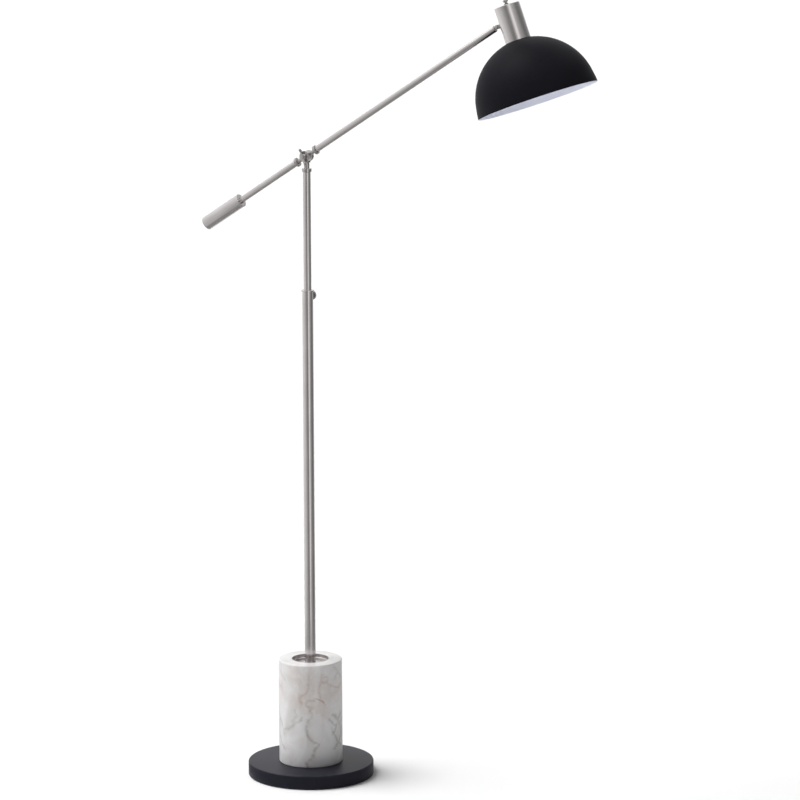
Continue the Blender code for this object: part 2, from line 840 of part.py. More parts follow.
def make_arm_end(arm_axis, along):
    """The plug in the front tube, with the tongue that the head hinges on."""
    plug_r = ARM_BORE_R - GAP
    flange = FRONT_END_S + GAP
    flange_end = flange + 0.0012
    piece = turned(
        "arm_end",
        [
            (0, flange_end),
            (ARM_R * 0.7, flange_end),
            (ARM_R - 0.0003, flange),
            (plug_r, flange),
            (plug_r, flange - END_PLUG),
            (0, flange - END_PLUG),
        ],
        POLISHED,
        SMALL_STEPS,
    )
    place(piece, (0, 0, 0), along, arm_axis)
    hinge = (HEAD_HINGE_S, 0, 0)
    eye = helper_rod("arm_end_eye", TONGUE_R, -TONGUE_HALF, TONGUE_HALF, hinge, (QUARTER, 0, 0), arm_axis)
    join(piece, eye)
    neck_half = TONGUE_R * 0.65
    neck = helper_block(
        "arm_end_neck",
        (flange_end - 0.0008, -TONGUE_HALF, -neck_half),
        (HEAD_HINGE_S, TONGUE_HALF, neck_half),
        arm_axis,
    )
    join(piece, neck)
    hole = PIN_R + SPIN_GAP
    cut(piece, helper_rod("arm_end_hole", hole, -0.01, 0.01, hinge, (QUARTER, 0, 0), arm_axis))


# ---------------------------------------------------------------- head


def shade_profile(inset, hole_r, count):
    """Dome points from the rim to the top hole, moved inwards by inset."""
    lean = 6  # degrees above the widest circle where the side turns straight
    radius = SHADE_SPHERE_R - inset
    rim = [
        (SHADE_RIM_R - inset, SPHERE_Z - SHADE_RIM_DROP),
        (SHADE_RIM_R - inset - 0.0009, SPHERE_Z + SHADE_SPHERE_R * math.sin(math.radians(lean)) / 2),
    ]
    top = 90 - math.degrees(math.asin(hole_r / radius))
    return rim + arc(0, SPHERE_Z, radius, lean + 4, top, count)


def make_head(arm_axis):
    hinge = (HEAD_HINGE_S, 0, 0)
    lean = (0, ARM_ANGLE - HEAD_TILT, 0)
    head_axis = new_empty("head_tilt_axis", hinge, lean, arm_axis)
    centre = new_empty("head_centre_line", (CUP_X, 0, 0), parent=head_axis)
    make_head_joint(head_axis)
    outer = list(reversed(shade_profile(0, SHADE_HOLE_R, 13)))
    inner = shade_profile(SHADE_WALL, SHADE_HOLE_R, 13)
    place(turned("shade", outer + inner, BLACK, BIG_STEPS), parent=centre)
    roof = CUP_ABOVE - CUP_WALL
    cup_in = CUP_R - CUP_WALL
    cup_foot = GAP - CUP_BELOW
    neck_hole = SWITCH_NECK_R + GAP
    edge = 0.0007
    cup = turned(
        "socket_cup",
        [(neck_hole, CUP_ABOVE)]
        + arc(CUP_R - edge, CUP_ABOVE - edge, edge, 90, 0, 2)
        + [(CUP_R, cup_foot), (cup_in, cup_foot), (cup_in, roof), (neck_hole, roof)],
        NICKEL,
        MID_STEPS,
    )
    place(cup, parent=centre)
    spot = (-CUP_R, 0, 0)
    cut(cup, helper_rod("cup_stud_hole", STUD_R + GAP, -0.01, 0.01, spot, (0, QUARTER, 0), centre))
    make_lamp_holder(centre, cup_in)
    make_switch(centre, roof)


def make_head_joint(head_axis):
    """The fork on the cup, its pin, and the nut inside the cup."""
    along = (0, QUARTER, 0)
    side = (QUARTER, 0, 0)
    cheek = TONGUE_R + 2 * GAP
    wall_sag = FORK_OUT**2 / 2 / CUP_R
    flange_face = HINGE_TO_CUP - GAP
    nut_face = HINGE_TO_CUP + CUP_WALL + GAP + wall_sag
    fork = turned(
        "head_fork",
        [
            (0, nut_face + HEAD_NUT_T + CHAMFER),
            (STUD_R, nut_face + HEAD_NUT_T + CHAMFER),
            (STUD_R, flange_face),
            (FORK_OUT, flange_face),
            (FORK_OUT, cheek),
            (0, cheek),
        ],
        POLISHED,
        SMALL_STEPS,
    )
    place(fork, (0, 0, 0), along, head_axis)
    for name, low in (("fork_ear_near", -FORK_OUT), ("fork_ear_far", FORK_IN)):
        high = low + FORK_EAR_T
        join(fork, helper_rod(name, TONGUE_R, -high, -low, (0, 0, 0), side, head_axis))
        join(
            fork,
            helper_block(
                name + "_root",
                (0, low + 0.0001, -TONGUE_R * 0.8),
                (cheek + 0.0006, high - 0.0001, TONGUE_R * 0.8),
                head_axis,
            ),
        )
    hole = PIN_R + THREAD_GAP
    cut(fork, helper_rod("fork_pin_hole", hole, -0.01, 0.01, (0, 0, 0), side, head_axis))
    face = FORK_OUT + GAP
    pin = turned(
        "head_pin",
        [
            (0, face + PIN_HEAD_T),
            (PIN_HEAD_R * 0.7, face + PIN_HEAD_T),
            (PIN_HEAD_R, face + PIN_HEAD_T * 0.4),
            (PIN_HEAD_R, face),
            (PIN_R, face),
            (PIN_R, -face),
            (PIN_HEAD_R, -face),
            (PIN_HEAD_R, -face - PIN_HEAD_T * 0.4),
            (PIN_HEAD_R * 0.7, -face - PIN_HEAD_T),
            (0, -face - PIN_HEAD_T),
        ],
        POLISHED,
        20,
    )
    place(pin, (0, 0, 0), side, head_axis)
    nut_bore = STUD_R + THREAD_GAP
    hex_nut("head_nut", HEAD_NUT_AF, nut_face, nut_face + HEAD_NUT_T, nut_bore, STEEL, along, head_axis)


def make_lamp_holder(centre, cup_in):
    dome_in = SHADE_SPHERE_R - SHADE_WALL
    seat = -CUP_BELOW + CUP_R**2 / 2 / SHADE_SPHERE_R
    shell_bore = SHELL_R + GAP
    holder = turned(
        "lamp_holder",
        [
            (0.003, HOLDER_TOP),
            (HOLDER_R - 0.002, HOLDER_TOP),
            (HOLDER_R, HOLDER_TOP - 0.002),
            (HOLDER_R, seat + 0.003),
            (cup_in - 3 * GAP, seat + 0.003),
            (cup_in - 3 * GAP, seat + GAP),
            (HOLDER_R, seat + GAP),
            (HOLDER_R, HOLDER_END + CHAMFER),
            (HOLDER_R - CHAMFER, HOLDER_END),
            (shell_bore, HOLDER_END),
            (shell_bore, HOLDER_TOP - 0.005),
            (0.003, HOLDER_TOP - 0.005),
        ],
        PORCELAIN,
        MID_STEPS,
    )
    place(holder, parent=centre)
    shell_top = HOLDER_TOP - 0.005 - GAP
    shell_foot = HOLDER_END + 0.012
    shell_in = SHELL_R - SHELL_WALL
    shell = turned(
        "screw_shell",
        [
            (0.0045, shell_top),
            (SHELL_R, shell_top),
            (SHELL_R, shell_foot),
            (shell_in, shell_foot),
            (shell_in, shell_top - SHELL_WALL),
            (0.0045, shell_top - SHELL_WALL),
        ],
        BRASS,
        SMALL_STEPS,
    )
    place(shell, parent=centre)
    ring_in = HOLDER_R + GAP
    ring_top = SPHERE_Z + math.sqrt(dome_in**2 - RING_NUT_R**2) - 2 * GAP
    ring = turned(
        "shade_ring",
        [
            (ring_in, ring_top),
            (RING_NUT_R, ring_top),
            (RING_NUT_R, ring_top - RING_NUT_T + CHAMFER),
            (RING_NUT_R - CHAMFER, ring_top - RING_NUT_T),
            (ring_in, ring_top - RING_NUT_T),
        ],
        PORCELAIN,
        MID_STEPS,
    )
    place(ring, parent=centre)
    make_bulb(centre, shell_top - SHELL_WALL - GAP)


def make_bulb(centre, cap_top):
    cap_foot = cap_top - BULB_NECK
    button_r = 0.004
    cap_in = BULB_CAP_R - BULB_CAP_WALL
    cap = turned(
        "bulb_cap",
        [
            (0, cap_top),
            (button_r, cap_top - 0.0005),
            (BULB_CAP_R - 0.003, cap_top - 0.004),
            (BULB_CAP_R, cap_top - 0.007),
            (BULB_CAP_R, cap_foot),
            (cap_in, cap_foot),
            (cap_in, cap_top - 0.0074),
            (BULB_CAP_R - 0.0034, cap_top - 0.0047),
            (0, cap_top - 0.0012),
        ],
        STEEL,
        SMALL_STEPS,
    )
    place(cap, parent=centre)
    neck_foot = HOLDER_END - 0.002
    globe_z = neck_foot - BULB_R
    neck_angle = 90 - math.degrees(math.asin(BULB_CAP_R / BULB_R))
    glass_in = BULB_R - BULB_WALL
    neck_in = BULB_CAP_R - BULB_WALL
    inner_angle = 90 - math.degrees(math.asin(neck_in / glass_in))
    glass = turned(
        "bulb_glass",
        [(0, globe_z - glass_in)]
        + arc(0, globe_z, glass_in, -80, inner_angle, 9)
        + [(neck_in, cap_foot - GAP), (BULB_CAP_R, cap_foot - GAP), (BULB_CAP_R, neck_foot)]
        + arc(0, globe_z, BULB_R, neck_angle, -80, 9)
        + [(0, globe_z - BULB_R)],
        GLASS,
        MID_STEPS,
    )
    place(glass, parent=centre)


def make_switch(centre, roof):
    neck_top = CUP_ABOVE + 0.0036
    body_top = roof - GAP
    body = turned(
        "switch_body",
        [
            (0, neck_top),
            (SWITCH_NECK_R, neck_top),
            (SWITCH_NECK_R, body_top),
            (SWITCH_R, body_top),
            (SWITCH_R, body_top - SWITCH_T),
            (0, body_top - SWITCH_T),
        ],
        PLASTIC,
        SMALL_STEPS,
    )
    place(body, parent=centre)
    nut_foot = CUP_ABOVE + GAP
    nut = turned(
        "switch_nut",
        [
            (SWITCH_NECK_R + THREAD_GAP, nut_foot + 0.002),
            (SWITCH_NECK_R + 0.0012, nut_foot + 0.002),
            (SWITCH_NECK_R + 0.0018, nut_foot),
            (SWITCH_NECK_R + THREAD_GAP, nut_foot),
        ],
        POLISHED,
        SMALL_STEPS,
    )
    place(nut, parent=centre)
    foot = neck_top + SPIN_GAP
    flange = foot + 0.0028
    top = foot + SWITCH_KNOB_T
    dome = 0.0026
    knob = turned(
        "switch_knob",
        [(0, top)]
        + arc(0.0012, top - dome, dome, 78, 0, 4)
        + [
            (0.0038, flange + 0.0042),
            (SWITCH_KNOB_R, flange + 0.003),
            (SWITCH_KNOB_R, flange + 0.0006),
            (SWITCH_KNOB_R * 0.6, flange),
            (SWITCH_KNOB_R * 0.5, foot),
            (0, foot),
        ],
        POLISHED,
        SMALL_STEPS,
    )
    place(knob, parent=centre)


# ---------------------------------------------------------------- the lamp

clear_scene()
PARTS = new_collection("arc_floor_lamp")
HELPERS = new_collection("cutters", rendered=False)
NICKEL = new_material("brushed_nickel", (0.42, 0.39, 0.37), 0.32, 1)
POLISHED = new_material("polished_nickel", (0.40, 0.38, 0.36), 0.18, 1)
STEEL = new_material("zinc_steel", (0.45, 0.45, 0.46), 0.35, 1)
BRASS = new_material("brass", (0.62, 0.46, 0.2), 0.3, 1)
IRON = new_material("cast_iron", (0.08, 0.08, 0.08), 0.7, 1)
BLACK = new_material("satin_black_paint", (0.014, 0.013, 0.016), 0.42, 0)
MARBLE = new_material("marble", (0.68, 0.66, 0.65), 0.25, 0)
PAD = new_material("felt_pad", (0.03, 0.03, 0.03), 0.95, 0)
RUBBER = new_material("black_rubber", (0.02, 0.02, 0.02), 0.7, 0)
NYLON = new_material("nylon", (0.6, 0.58, 0.53), 0.5, 0)
PLASTIC = new_material("phenolic", (0.03, 0.03, 0.03), 0.4, 0)
PORCELAIN = new_material("porcelain", (0.75, 0.74, 0.71), 0.2, 0)
CABLE = new_material("cable_jacket", (0.1, 0.1, 0.1), 0.5, 0)
GLASS = new_material("opal_glass", (0.85, 0.85, 0.84), 0.15, 0)
make_base()
make_column()
make_lower_pole()
TURN_AXIS, NECK_TOP = make_upper_pole()
make_pivot(TURN_AXIS, NECK_TOP)
ARM_AXIS = make_arm(TURN_AXIS)
make_head(ARM_AXIS)
bpy.context.view_layer.update()
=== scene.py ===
"""Looks of a balance-arm floor lamp: marble column, brushed nickel poles and arm, black dome shade.

Each sub-assembly is a class whose dataclass fields hold its own sizes in metres. Places come from
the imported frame, so every piece is built where its solid stands.
"""

import json
import logging
import math
from dataclasses import dataclass, field
from enum import Enum

import bmesh
import bpy
import numpy as np
from mathutils import Matrix, Vector, noise


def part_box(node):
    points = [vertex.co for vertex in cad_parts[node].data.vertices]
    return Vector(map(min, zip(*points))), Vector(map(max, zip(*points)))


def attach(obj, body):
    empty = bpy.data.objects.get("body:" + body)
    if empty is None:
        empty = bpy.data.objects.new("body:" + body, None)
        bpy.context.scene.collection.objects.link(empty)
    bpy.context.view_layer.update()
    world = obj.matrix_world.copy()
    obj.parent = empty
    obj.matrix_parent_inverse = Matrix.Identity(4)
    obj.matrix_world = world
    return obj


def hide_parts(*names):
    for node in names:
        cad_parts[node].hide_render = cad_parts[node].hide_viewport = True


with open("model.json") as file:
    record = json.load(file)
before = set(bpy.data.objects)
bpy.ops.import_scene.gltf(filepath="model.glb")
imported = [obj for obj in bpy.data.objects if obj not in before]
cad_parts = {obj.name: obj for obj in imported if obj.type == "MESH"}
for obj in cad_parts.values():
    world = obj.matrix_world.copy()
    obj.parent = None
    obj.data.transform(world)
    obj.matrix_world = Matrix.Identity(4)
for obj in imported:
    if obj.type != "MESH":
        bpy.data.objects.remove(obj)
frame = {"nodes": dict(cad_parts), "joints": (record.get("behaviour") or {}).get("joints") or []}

LOG = logging.getLogger("floor_lamp")
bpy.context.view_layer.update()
MM = 0.001
Profile = list[tuple[float, float]]


class Slot(Enum):
    """The record's material slots that the new pieces take their finish from."""

    BRUSHED = "brushed_nickel"
    POLISHED = "polished_nickel"
    ZINC = "zinc_steel"
    BRASS = "brass"
    IRON = "cast_iron"
    BASE_BLACK = "base_black"
    SHADE_BLACK = "shade_black"
    MARBLE = "marble"
    FELT = "felt_pad"
    RUBBER = "rubber"
    NYLON = "nylon"
    PHENOLIC = "phenolic"
    PORCELAIN = "porcelain"
    CABLE = "cable_jacket"
    OPAL = "opal_glass"


class Body(Enum):
    """The rigid bodies of the lamp."""

    BASE = "base"
    SLIDER = "slider"
    COLUMN = "column"
    HEIGHT_KNOB = "height_knob"
    WING_NUT = "wing_nut"
    ARM = "arm"
    HEAD = "head"
    SWITCH_KNOB = "switch_knob"


# ---------------------------------------------------------------- colour and nodes


def linear(hex_color: str) -> tuple[float, float, float, float]:
    """Turn an sRGB hex colour into linear RGBA.

    Args:
        hex_color: Six hex digits, with or without a leading #.

    Returns:
        Linear red, green, blue and an alpha of 1.
    """
    digits = hex_color.lstrip("#")
    values = [int(digits[i : i + 2], 16) / 255 for i in (0, 2, 4)]
    bent = [v / 12.92 if v <= 0.04045 else ((v + 0.055) / 1.055) ** 2.4 for v in values]
    return (bent[0], bent[1], bent[2], 1.0)


class Graph:
    """A material or world node tree that nodes are added to one by one."""

    def __init__(self, tree: bpy.types.NodeTree) -> None:
        """Keep the tree."""
        self.tree = tree

    def add(self, kind: str, settings: dict | None = None, **inputs: object) -> bpy.types.Node:
        """Add a node with its settings and links.

        Args:
            kind: The node's Blender type, without the ShaderNode prefix.
            settings: Attributes to set on the node.
            **inputs: Socket values or output sockets, by socket name with spaces as underscores,
                or by number as i0, i1 and so on.

        Returns:
            The new node.
        """
        node = self.tree.nodes.new("ShaderNode" + kind)
        for name, value in (settings or {}).items():
            setattr(node, name, value)
        for name, value in inputs.items():
            numbered = name[0] == "i" and name[1:].isdigit()
            socket = node.inputs[int(name[1:])] if numbered else node.inputs[name.replace("_", " ")]
            if isinstance(value, bpy.types.NodeSocket):
                self.tree.links.new(value, socket)
            else:
                socket.default_value = value
        return node

    def ramp(self, factor: bpy.types.NodeSocket, stops: list[tuple[float, str]]) -> bpy.types.NodeSocket:
        """Add a colour ramp.

        Args:
            factor: The value that picks the colour.
            stops: Positions from 0 to 1 and sRGB hex colours.

        Returns:
            The ramp's colour output.
        """
        node = self.add("ValToRGB", None, Fac=factor)
        elements = node.color_ramp.elements
        while len(elements) < len(stops):
            elements.new(0.5)
        for element, (position, color) in zip(elements, stops):
            element.position = position
            element.color = linear(color)
        return node.outputs["Color"]

    def span(self, value: bpy.types.NodeSocket, low: float, high: float) -> bpy.types.NodeSocket:
        """Stretch a value that runs from 0 to 1 so that it runs from low to high."""
        return self.add("MapRange", None, Value=value, To_Min=low, To_Max=high).outputs["Result"]


def new_finish(name: str) -> tuple[bpy.types.Material, Graph, bpy.types.Node]:
    """Start a node material.

    Args:
        name: The material's name.

    Returns:
        The material, its node graph and its Principled shader.
    """
    material = bpy.data.materials.new(name)
    material.use_nodes = True
    return material, Graph(material.node_tree), material.node_tree.nodes["Principled BSDF"]


def put(graph: Graph, shader: bpy.types.Node, **inputs: object) -> None:
    """Set or link the Principled shader's sockets, by socket name with spaces as underscores."""
    for name, value in inputs.items():
        socket = shader.inputs[name.replace("_", " ")]
        if isinstance(value, bpy.types.NodeSocket):
            graph.tree.links.new(value, socket)
        else:
            socket.default_value = value


def local_points(graph: Graph, scale: tuple[float, float, float] = (1, 1, 1)) -> bpy.types.NodeSocket:
    """Give the piece's own coordinates in metres, stretched by scale."""
    place = graph.add("TexCoord").outputs["Object"]
    return graph.add("Mapping", None, Vector=place, Scale=scale).outputs["Vector"]


# ---------------------------------------------------------------- finishes


@dataclass(frozen=True)
class BrushedMetal:
    """Plated or plain metal with fine straight marks along the piece's Z axis.

    The marks run with the length of the tube, so the highlights stay soft across them and long
    along them. Real brush marks are about 0.1 mm apart. They are drawn at mark_mm to show.
    """

    name: str
    dark: str
    light: str
    roughness: float
    spread: float
    mark_mm: float
    length_mm: float
    depth: float

    def build(self) -> bpy.types.Material:
        """Build the node material."""
        material, graph, shader = new_finish(self.name)
        across = 1 / (self.mark_mm * MM)
        along = 1 / (self.length_mm * MM)
        marks = graph.add(
            "TexNoise",
            {"noise_dimensions": "3D"},
            Vector=local_points(graph, (across, across, along)),
            Scale=1.0,
            Detail=3.0,
            Roughness=0.6,
        ).outputs["Fac"]
        cloud = graph.add(
            "TexNoise", None, Vector=local_points(graph), Scale=18.0, Detail=2.0
        ).outputs["Fac"]
        both = graph.add("Math", {"operation": "MULTIPLY_ADD"}, i0=cloud, i1=0.4, i2=marks).outputs[0]
        tone = graph.ramp(both, [(0.45, self.dark), (0.95, self.light)])
        rough = graph.span(marks, self.roughness - self.spread, self.roughness + self.spread)
        bump = graph.add("Bump", None, Strength=self.depth, Distance=0.02 * MM, Height=marks)
        put(graph, shader, Base_Color=tone, Metallic=1.0, Roughness=rough, Normal=bump.outputs[0])
        return material


@dataclass(frozen=True)
class GrainedCoat:
    """A coat or moulded surface with a fine random grain, such as enamel, felt or cast iron."""

    name: str
    dark: str
    light: str
    roughness: float
    spread: float
    grain_mm: float
    depth_mm: float
    coat: float = 0.0
    coat_roughness: float = 0.1
    sheen: float = 0.0
    ior: float = 1.5
    metallic: float = 0.0
    strength: float = 0.5

    def build(self) -> bpy.types.Material:
        """Build the node material."""
        material, graph, shader = new_finish(self.name)
        grain = graph.add(
            "TexNoise",
            None,
            Vector=local_points(graph),
            Scale=1 / (self.grain_mm * MM),
            Detail=3.0,
            Roughness=0.55,
        ).outputs["Fac"]
        cloud = graph.add(
            "TexNoise", None, Vector=local_points(graph), Scale=14.0, Detail=3.0
        ).outputs["Fac"]
        mixed = graph.add("Math", {"operation": "MULTIPLY_ADD"}, i0=cloud, i1=0.5, i2=grain).outputs[0]
        tone = graph.ramp(mixed, [(0.5, self.dark), (0.95, self.light)])
        rough = graph.span(cloud, self.roughness - self.spread, self.roughness + self.spread)
        bump = graph.add(
            "Bump", None, Strength=self.strength, Distance=self.depth_mm * MM, Height=grain
        )
        put(
            graph,
            shader,
            Base_Color=tone,
            Roughness=rough,
            Metallic=self.metallic,
            IOR=self.ior,
            Coat_Weight=self.coat,
            Coat_Roughness=self.coat_roughness,
            Sheen_Weight=self.sheen,
            Normal=bump.outputs[0],
        )
        return material


@dataclass(frozen=True)
class PolishedMarble:
    """White marble, sawn and polished, with beige and grey-green veins.

    The polish gives a soft clear gloss over a milky body. The veins are read from the mesh's own
    vein attribute, and noise breaks their edges and clouds the stone between them.
    """

    name: str = "polished_white_marble"

    def build(self) -> bpy.types.Material:
        """Build the node material."""
        material, graph, shader = new_finish(self.name)
        cloud = graph.add(
            "TexNoise", None, Vector=local_points(graph, (1, 1, 0.6)), Scale=30.0, Detail=5.0, Distortion=0.6
        ).outputs["Fac"]
        body = graph.ramp(
            cloud, [(0.3, "#CFCDCC"), (0.45, "#DBD9D9"), (0.6, "#E2E1E2"), (0.75, "#D7D4D3")]
        )
        crystals = graph.add(
            "TexNoise", None, Vector=local_points(graph), Scale=1 / (1.6 * MM), Detail=2.0
        ).outputs["Fac"]
        breaks = graph.add(
            "TexNoise", None, Vector=local_points(graph), Scale=1 / (11 * MM), Detail=3.0, Roughness=0.6
        ).outputs["Fac"]
        fine = graph.span(crystals, 0.6, 1.3)
        broken = graph.span(breaks, -0.5, 2.1)
        edge = graph.add("Math", {"operation": "MULTIPLY"}, i0=fine, i1=broken).outputs[0]
        veins = graph.add("VertexColor", {"layer_name": "veins"}).outputs["Color"]
        parts = graph.add("SeparateColor", None, Color=veins)
        color = body
        layers = (("Blue", "#CDBDB4", 0.9), ("Red", "#AB8A78", 0.85), ("Green", "#8A8A82", 0.9))
        for channel, tint, weight in layers:
            soft = graph.add("Math", {"operation": "MULTIPLY"}, i0=parts.outputs[channel], i1=edge).outputs[0]
            amount = graph.add(
                "Math", {"operation": "MULTIPLY", "use_clamp": True}, i0=soft, i1=weight
            ).outputs[0]
            mix = graph.add("Mix", {"data_type": "RGBA"}, i0=amount, i6=color, i7=linear(tint))
            color = mix.outputs[2]
        rough = graph.span(cloud, 0.24, 0.36)
        bump = graph.add("Bump", None, Strength=0.06, Distance=0.1 * MM, Height=crystals)
        put(
            graph,
            shader,
            Base_Color=color,
            Roughness=rough,
            IOR=1.49,
            Subsurface_Weight=0.12,
            Subsurface_Radius=(0.004, 0.0038, 0.0035),
            Subsurface_Scale=1.0,
            Coat_Weight=0.25,
            Coat_Roughness=0.12,
            Normal=bump.outputs[0],
        )
        return material


@dataclass(frozen=True)
class OpalGlass:
    """White opal glass of a lamp globe: smooth, milky and slightly see-through."""

    name: str = "opal_white_glass"

    def build(self) -> bpy.types.Material:
        """Build the node material."""
        material, graph, shader = new_finish(self.name)
        cloud = graph.add(
            "TexNoise", None, Vector=local_points(graph), Scale=40.0, Detail=3.0
        ).outputs["Fac"]
        tone = graph.ramp(cloud, [(0.3, "#F1EFEA"), (0.7, "#FBFAF6")])
        rough = graph.span(cloud, 0.1, 0.16)
        put(
            graph,
            shader,
            Base_Color=tone,
            Roughness=rough,
            IOR=1.5,
            Subsurface_Weight=0.3,
            Subsurface_Radius=(0.006, 0.006, 0.005),
            Coat_Weight=0.4,
        )
        return material


WHITE_ENAMEL = GrainedCoat("white_enamel_lining", "#D6D9E6", "#E4E6F1", 0.42, 0.03, 1.0, 0.01)


def all_finishes() -> dict[Slot, bpy.types.Material]:
    """Build every finish once.

    Returns:
        The material for each slot.
    """
    finishes = {
        # Satin nickel plate over steel: a warm grey with long soft highlights.
        Slot.BRUSHED: BrushedMetal("brushed_nickel_plate", "#C0BBBB", "#DBD7D6", 0.22, 0.06, 0.45, 70, 0.3),
        # Polished nickel plate on turned hardware: darker and sharper, with faint lathe marks.
        Slot.POLISHED: BrushedMetal("polished_nickel_plate", "#ABA6A6", "#C5C1C0", 0.13, 0.04, 0.5, 4, 0.15),
        # Zinc plate on fasteners: pale blue-grey with a dull sheen.
        Slot.ZINC: BrushedMetal("zinc_plated_steel", "#9A9EA3", "#BFC2C5", 0.36, 0.08, 0.6, 3, 0.3),
        # Machined brass: yellow, with turning marks.
        Slot.BRASS: BrushedMetal("machined_brass", "#B08A45", "#D2AC62", 0.3, 0.06, 0.5, 2, 0.3),
        # Rough cast iron: dark, dull and pitted.
        Slot.IRON: GrainedCoat("rough_cast_iron", "#2B2A29", "#454341", 0.72, 0.08, 1.2, 0.2, metallic=0.6),
        # Satin powder coat on the base: nearly black, with a broad cool sheen and a very fine orange peel.
        Slot.BASE_BLACK: GrainedCoat(
            "satin_black_powder_coat", "#1C1C26", "#24242F", 0.4, 0.04, 0.7, 0.012, ior=1.22
        ),
        # Satin enamel on the spun shade: black with a soft sheen towards its lit side.
        Slot.SHADE_BLACK: GrainedCoat(
            "satin_black_enamel", "#141419", "#19191F", 0.5, 0.03, 0.8, 0.01, ior=1.12
        ),
        Slot.MARBLE: PolishedMarble(),
        # Black felt under the base: soft, with no gloss at all.
        Slot.FELT: GrainedCoat("black_felt", "#1B1B1C", "#333335", 0.95, 0.03, 0.5, 0.2, sheen=0.4),
        # Moulded rubber: dull black with a faint bloom.
        Slot.RUBBER: GrainedCoat("moulded_black_rubber", "#1A1A1A", "#282828", 0.62, 0.08, 0.6, 0.03),
        # Natural nylon: milky cream and waxy.
        Slot.NYLON: GrainedCoat("natural_nylon", "#CFCABC", "#E3DFD2", 0.45, 0.05, 0.8, 0.01),
        # Moulded phenolic: dark brown-black with a hard gloss.
        Slot.PHENOLIC: GrainedCoat("moulded_phenolic", "#19120F", "#2A211D", 0.26, 0.04, 0.9, 0.01, coat=0.3),
        # Glazed porcelain: white under a clear wet glaze.
        Slot.PORCELAIN: GrainedCoat("glazed_porcelain", "#DCDAD2", "#EDEBE4", 0.2, 0.04, 2.0, 0.01, coat=0.6),
        # Cable jacket: matt black plastic.
        Slot.CABLE: GrainedCoat("cable_jacket", "#1C1C1D", "#2B2B2C", 0.5, 0.06, 0.6, 0.02),
        Slot.OPAL: OpalGlass(),
    }
    return {slot: finish.build() for slot, finish in finishes.items()}


# ---------------------------------------------------------------- shapes


def trace(corners: list[tuple[float, float, float]], closed: bool = True) -> Profile:
    """Round the corners of an outline.

    Args:
        corners: Radius, height and corner radius of each corner. Zero keeps it sharp.
        closed: True for a ring, False where both ends lie on the axis.

    Returns:
        The points of the rounded outline.
    """
    points: Profile = []
    count = len(corners)
    for i, (r, z, bend) in enumerate(corners):
        at_end = not closed and i in (0, count - 1)
        here = Vector((r, z))
        if bend <= 0 or at_end:
            points.append((r, z))
            continue
        back = Vector(corners[i - 1][:2]) - here
        ahead = Vector(corners[(i + 1) % count][:2]) - here
        half = back.angle(ahead) / 2
        reach = min(bend / math.tan(half), back.length * 0.49, ahead.length * 0.49)
        start = here + back.normalized() * reach
        end = here + ahead.normalized() * reach
        cuts = 5
        for k in range(cuts + 1):
            t = k / cuts
            bow = start * (1 - t) ** 2 + here * 2 * t * (1 - t) + end * t**2
            points.append((max(bow.x, 0.0), bow.y))
    return points


def spin(profile: Profile, steps: int, closed: bool = True) -> bmesh.types.BMesh:
    """Turn a profile about the Z axis.

    Args:
        profile: Radius and height of each point, with the outer side running down.
        steps: How many facets go round.
        closed: True for a ring, False where both ends lie on the axis.

    Returns:
        A new closed shape.
    """
    shape = bmesh.new()
    rings: list[list[bmesh.types.BMVert]] = []
    for r, z in profile:
        if r < 1e-7:
            rings.append([shape.verts.new((0, 0, z))])
            continue
        angles = [math.tau * k / steps for k in range(steps)]
        rings.append([shape.verts.new((r * math.cos(a), r * math.sin(a), z)) for a in angles])
    pairs = len(rings) if closed else len(rings) - 1
    for i in range(pairs):
        upper, lower = rings[i], rings[(i + 1) % len(rings)]
        if len(upper) == 1 and len(lower) == 1:
            continue
        for k in range(steps):
            n = (k + 1) % steps
            if len(upper) == 1:
                corners = (upper[0], lower[k], lower[n])
            elif len(lower) == 1:
                corners = (upper[k], lower[0], upper[n])
            else:
                corners = (upper[k], lower[k], lower[n], upper[n])
            shape.faces.new(corners)
    bmesh.ops.recalc_face_normals(shape, faces=shape.faces)
    return shape


def solid_rod(radius: float, low: float, high: float, steps: int = 64) -> bmesh.types.BMesh:
    """Make a plain cylinder about Z, for joining and cutting."""
    return spin([(0, high), (radius, high), (radius, low), (0, low)], steps, closed=False)


def solid_box(low: tuple[float, float, float], high: tuple[float, float, float]) -> bmesh.types.BMesh:
    """Make a box between two corners, for joining and cutting."""
    shape = bmesh.new()
    bmesh.ops.create_cube(shape, size=1)
    for vert in shape.verts:
        vert.co = [a + (b - a) * (c + 0.5) for a, b, c in zip(low, high, vert.co)]
    return shape


def as_mesh(name: str, shape: bmesh.types.BMesh) -> bpy.types.Mesh:
    """Turn a shape into a mesh and free it."""
    mesh = bpy.data.meshes.new(name)
    shape.to_mesh(mesh)
    shape.free()
    return mesh


